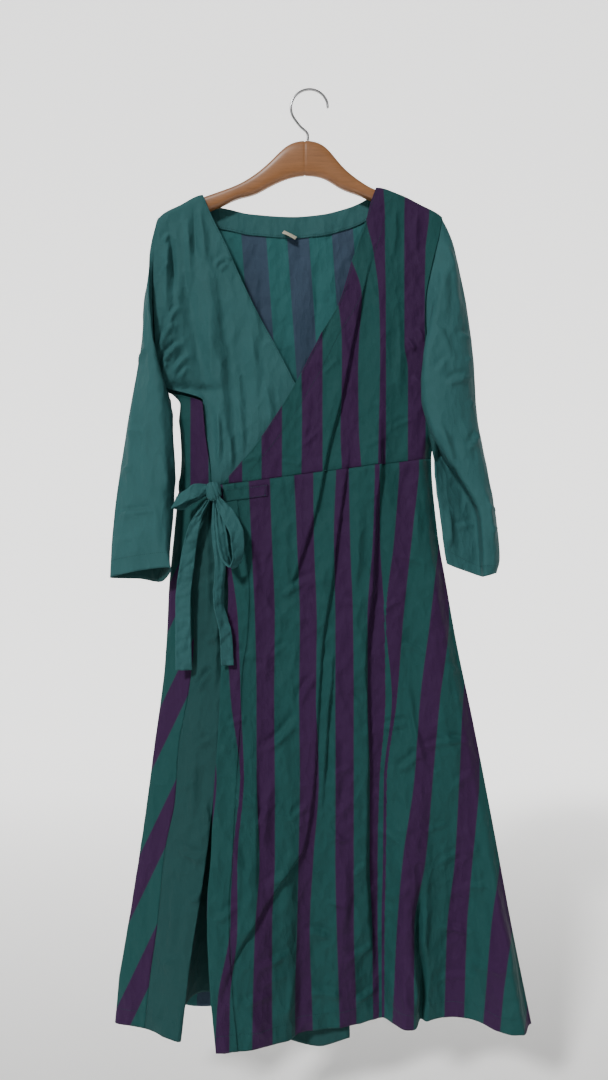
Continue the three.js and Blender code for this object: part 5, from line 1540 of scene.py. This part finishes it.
# The outside of the panel underneath is painted shade: the plain green darkened.
sew("skirt_front_under", lower, plain_uv(lower), [green_painted_shade, green_inside], -1)
rear = back_skirt(180, 190)
sew("skirt_back", rear, back_skirt_uv(rear), [stripes, stripes_inside], 1)
SLEEVE_CUT = (0.30, 0.34)
sleeve_grids = {}
for side, levels, creases in (("right", RIGHT_SLEEVE, RIGHT_SLEEVE_CREASES),
                              ("left", LEFT_SLEEVE, LEFT_SLEEVE_CREASES)):
    tube = sleeve(side, levels, creases, 115, 125)
    sleeve_grids[side] = tube
    # The insides of the sleeves are painted shade: the plain green darkened.
    sew(f"sleeve_{side}", tube, ring_uv(tube), [green, green_painted_shade], SLEEVE_OUTWARDS[side],
        around=True, cut=SLEEVE_CUT)
band = neck_facing(90, 16)
sew("back_neck_facing", band, plain_uv(band), [green, green_inside], -1,
    thick=0.8)
tape = woven_tape("blank_tape", (0.50, 0.46, 0.35))
tag = neck_label(24, 14)
sew("neck_label", tag, fabric(tag[..., 0], tag[..., 2]), [tape], -1,
    thick=0.5)

base = tie_base(60, 18)
sew("waist_tie_base", base, fabric(front_width(SKIRT_STRIPES, base), base[..., 2]), [stripes], -1,
    thick=1.1)

for number, (node, route) in enumerate(BOW.items()):
    rings, uv = tie_rings(route, TAIL_DENTS if node == "waist_tie_tail_left" else [], 70 + number)
    name = f"tie_{node.removeprefix('waist_tie_')}"
    piece = closed_piece(name, rings, [green], [node], uv)
    length = np.linalg.norm(np.diff(rings.mean(axis=1), axis=0), axis=-1).sum()
    route["width"].mean() * length * MM * MM
knot = closed_piece("knot_of_the_bow", knot_rings(), [green], ["waist_tie_knot"])

wood = closed_piece("beech_hanger", hanger_rings(), [beech("lacquered_beech", (0.41, 0.18, 0.066), (0.12, 0.046, 0.015))],
                    ["hanger_body"])
hook = closed_piece("steel_hook", hook_rings(), [polished_steel("polished_wire")], ["hanger_hook"])

LINE = np.linspace(0.0, 1.0, 240)
SEWN = {"edge": 2.5, "hem": 22.0, "cuff": 24.0, "neck": 0.9, "base": 0.06}


def from_side(grid, millimetres):
    """The share of a grid's width that lies so far in from its first column, all the way down."""
    width = path_lengths(grid)[:, -1]
    return millimetres / np.interp(LINE, np.linspace(0, 1, len(grid)), width)


def from_hem(grid, millimetres):
    """The share of a grid's length that lies so far up from its last row, all the way across."""
    length = np.linalg.norm(np.diff(grid, axis=0), axis=-1).sum(axis=0)
    return 1 - millimetres / np.interp(LINE, np.linspace(0, 1, grid.shape[1]), length)


upright = 0.02 + 0.96 * LINE
rows = [
    stitch_row(over, from_side(over, FACING_STITCH), upright, -1),
    stitch_row(over, from_side(over, SEWN["edge"]), upright, -1),
    stitch_row(under, 1 - from_side(under, SEWN["edge"]), upright, -1),
    stitch_row(panel, from_side(panel, SEWN["edge"]), upright, -1),
    stitch_row(panel, LINE, from_hem(panel, SEWN["hem"]), -1),
    stitch_row(border, LINE, from_hem(border, SEWN["hem"]), -1),
    stitch_row(rear, LINE, from_hem(rear, SEWN["hem"]), 1),
    stitch_row(lower, LINE * 0.32, from_hem(lower, SEWN["hem"]), -1),
    stitch_row(band, LINE, np.full(len(LINE), SEWN["neck"]), -1, 0.8),
]
for side, tube in sleeve_grids.items():
    joined = np.concatenate([tube, tube[:, :1]], axis=1)
    rows.append(stitch_row(joined, LINE, from_hem(joined, SEWN["cuff"]), SLEEVE_OUTWARDS[side]))
near, far = SEWN["base"], 1 - SEWN["base"]
for across, down in ((LINE, near + 0 * LINE), (LINE, far + 0 * LINE), (far + 0 * LINE, LINE)):
    rows.append(stitch_row(base, across, down, -1, 1.1))
stitch_piece(rows, thread)
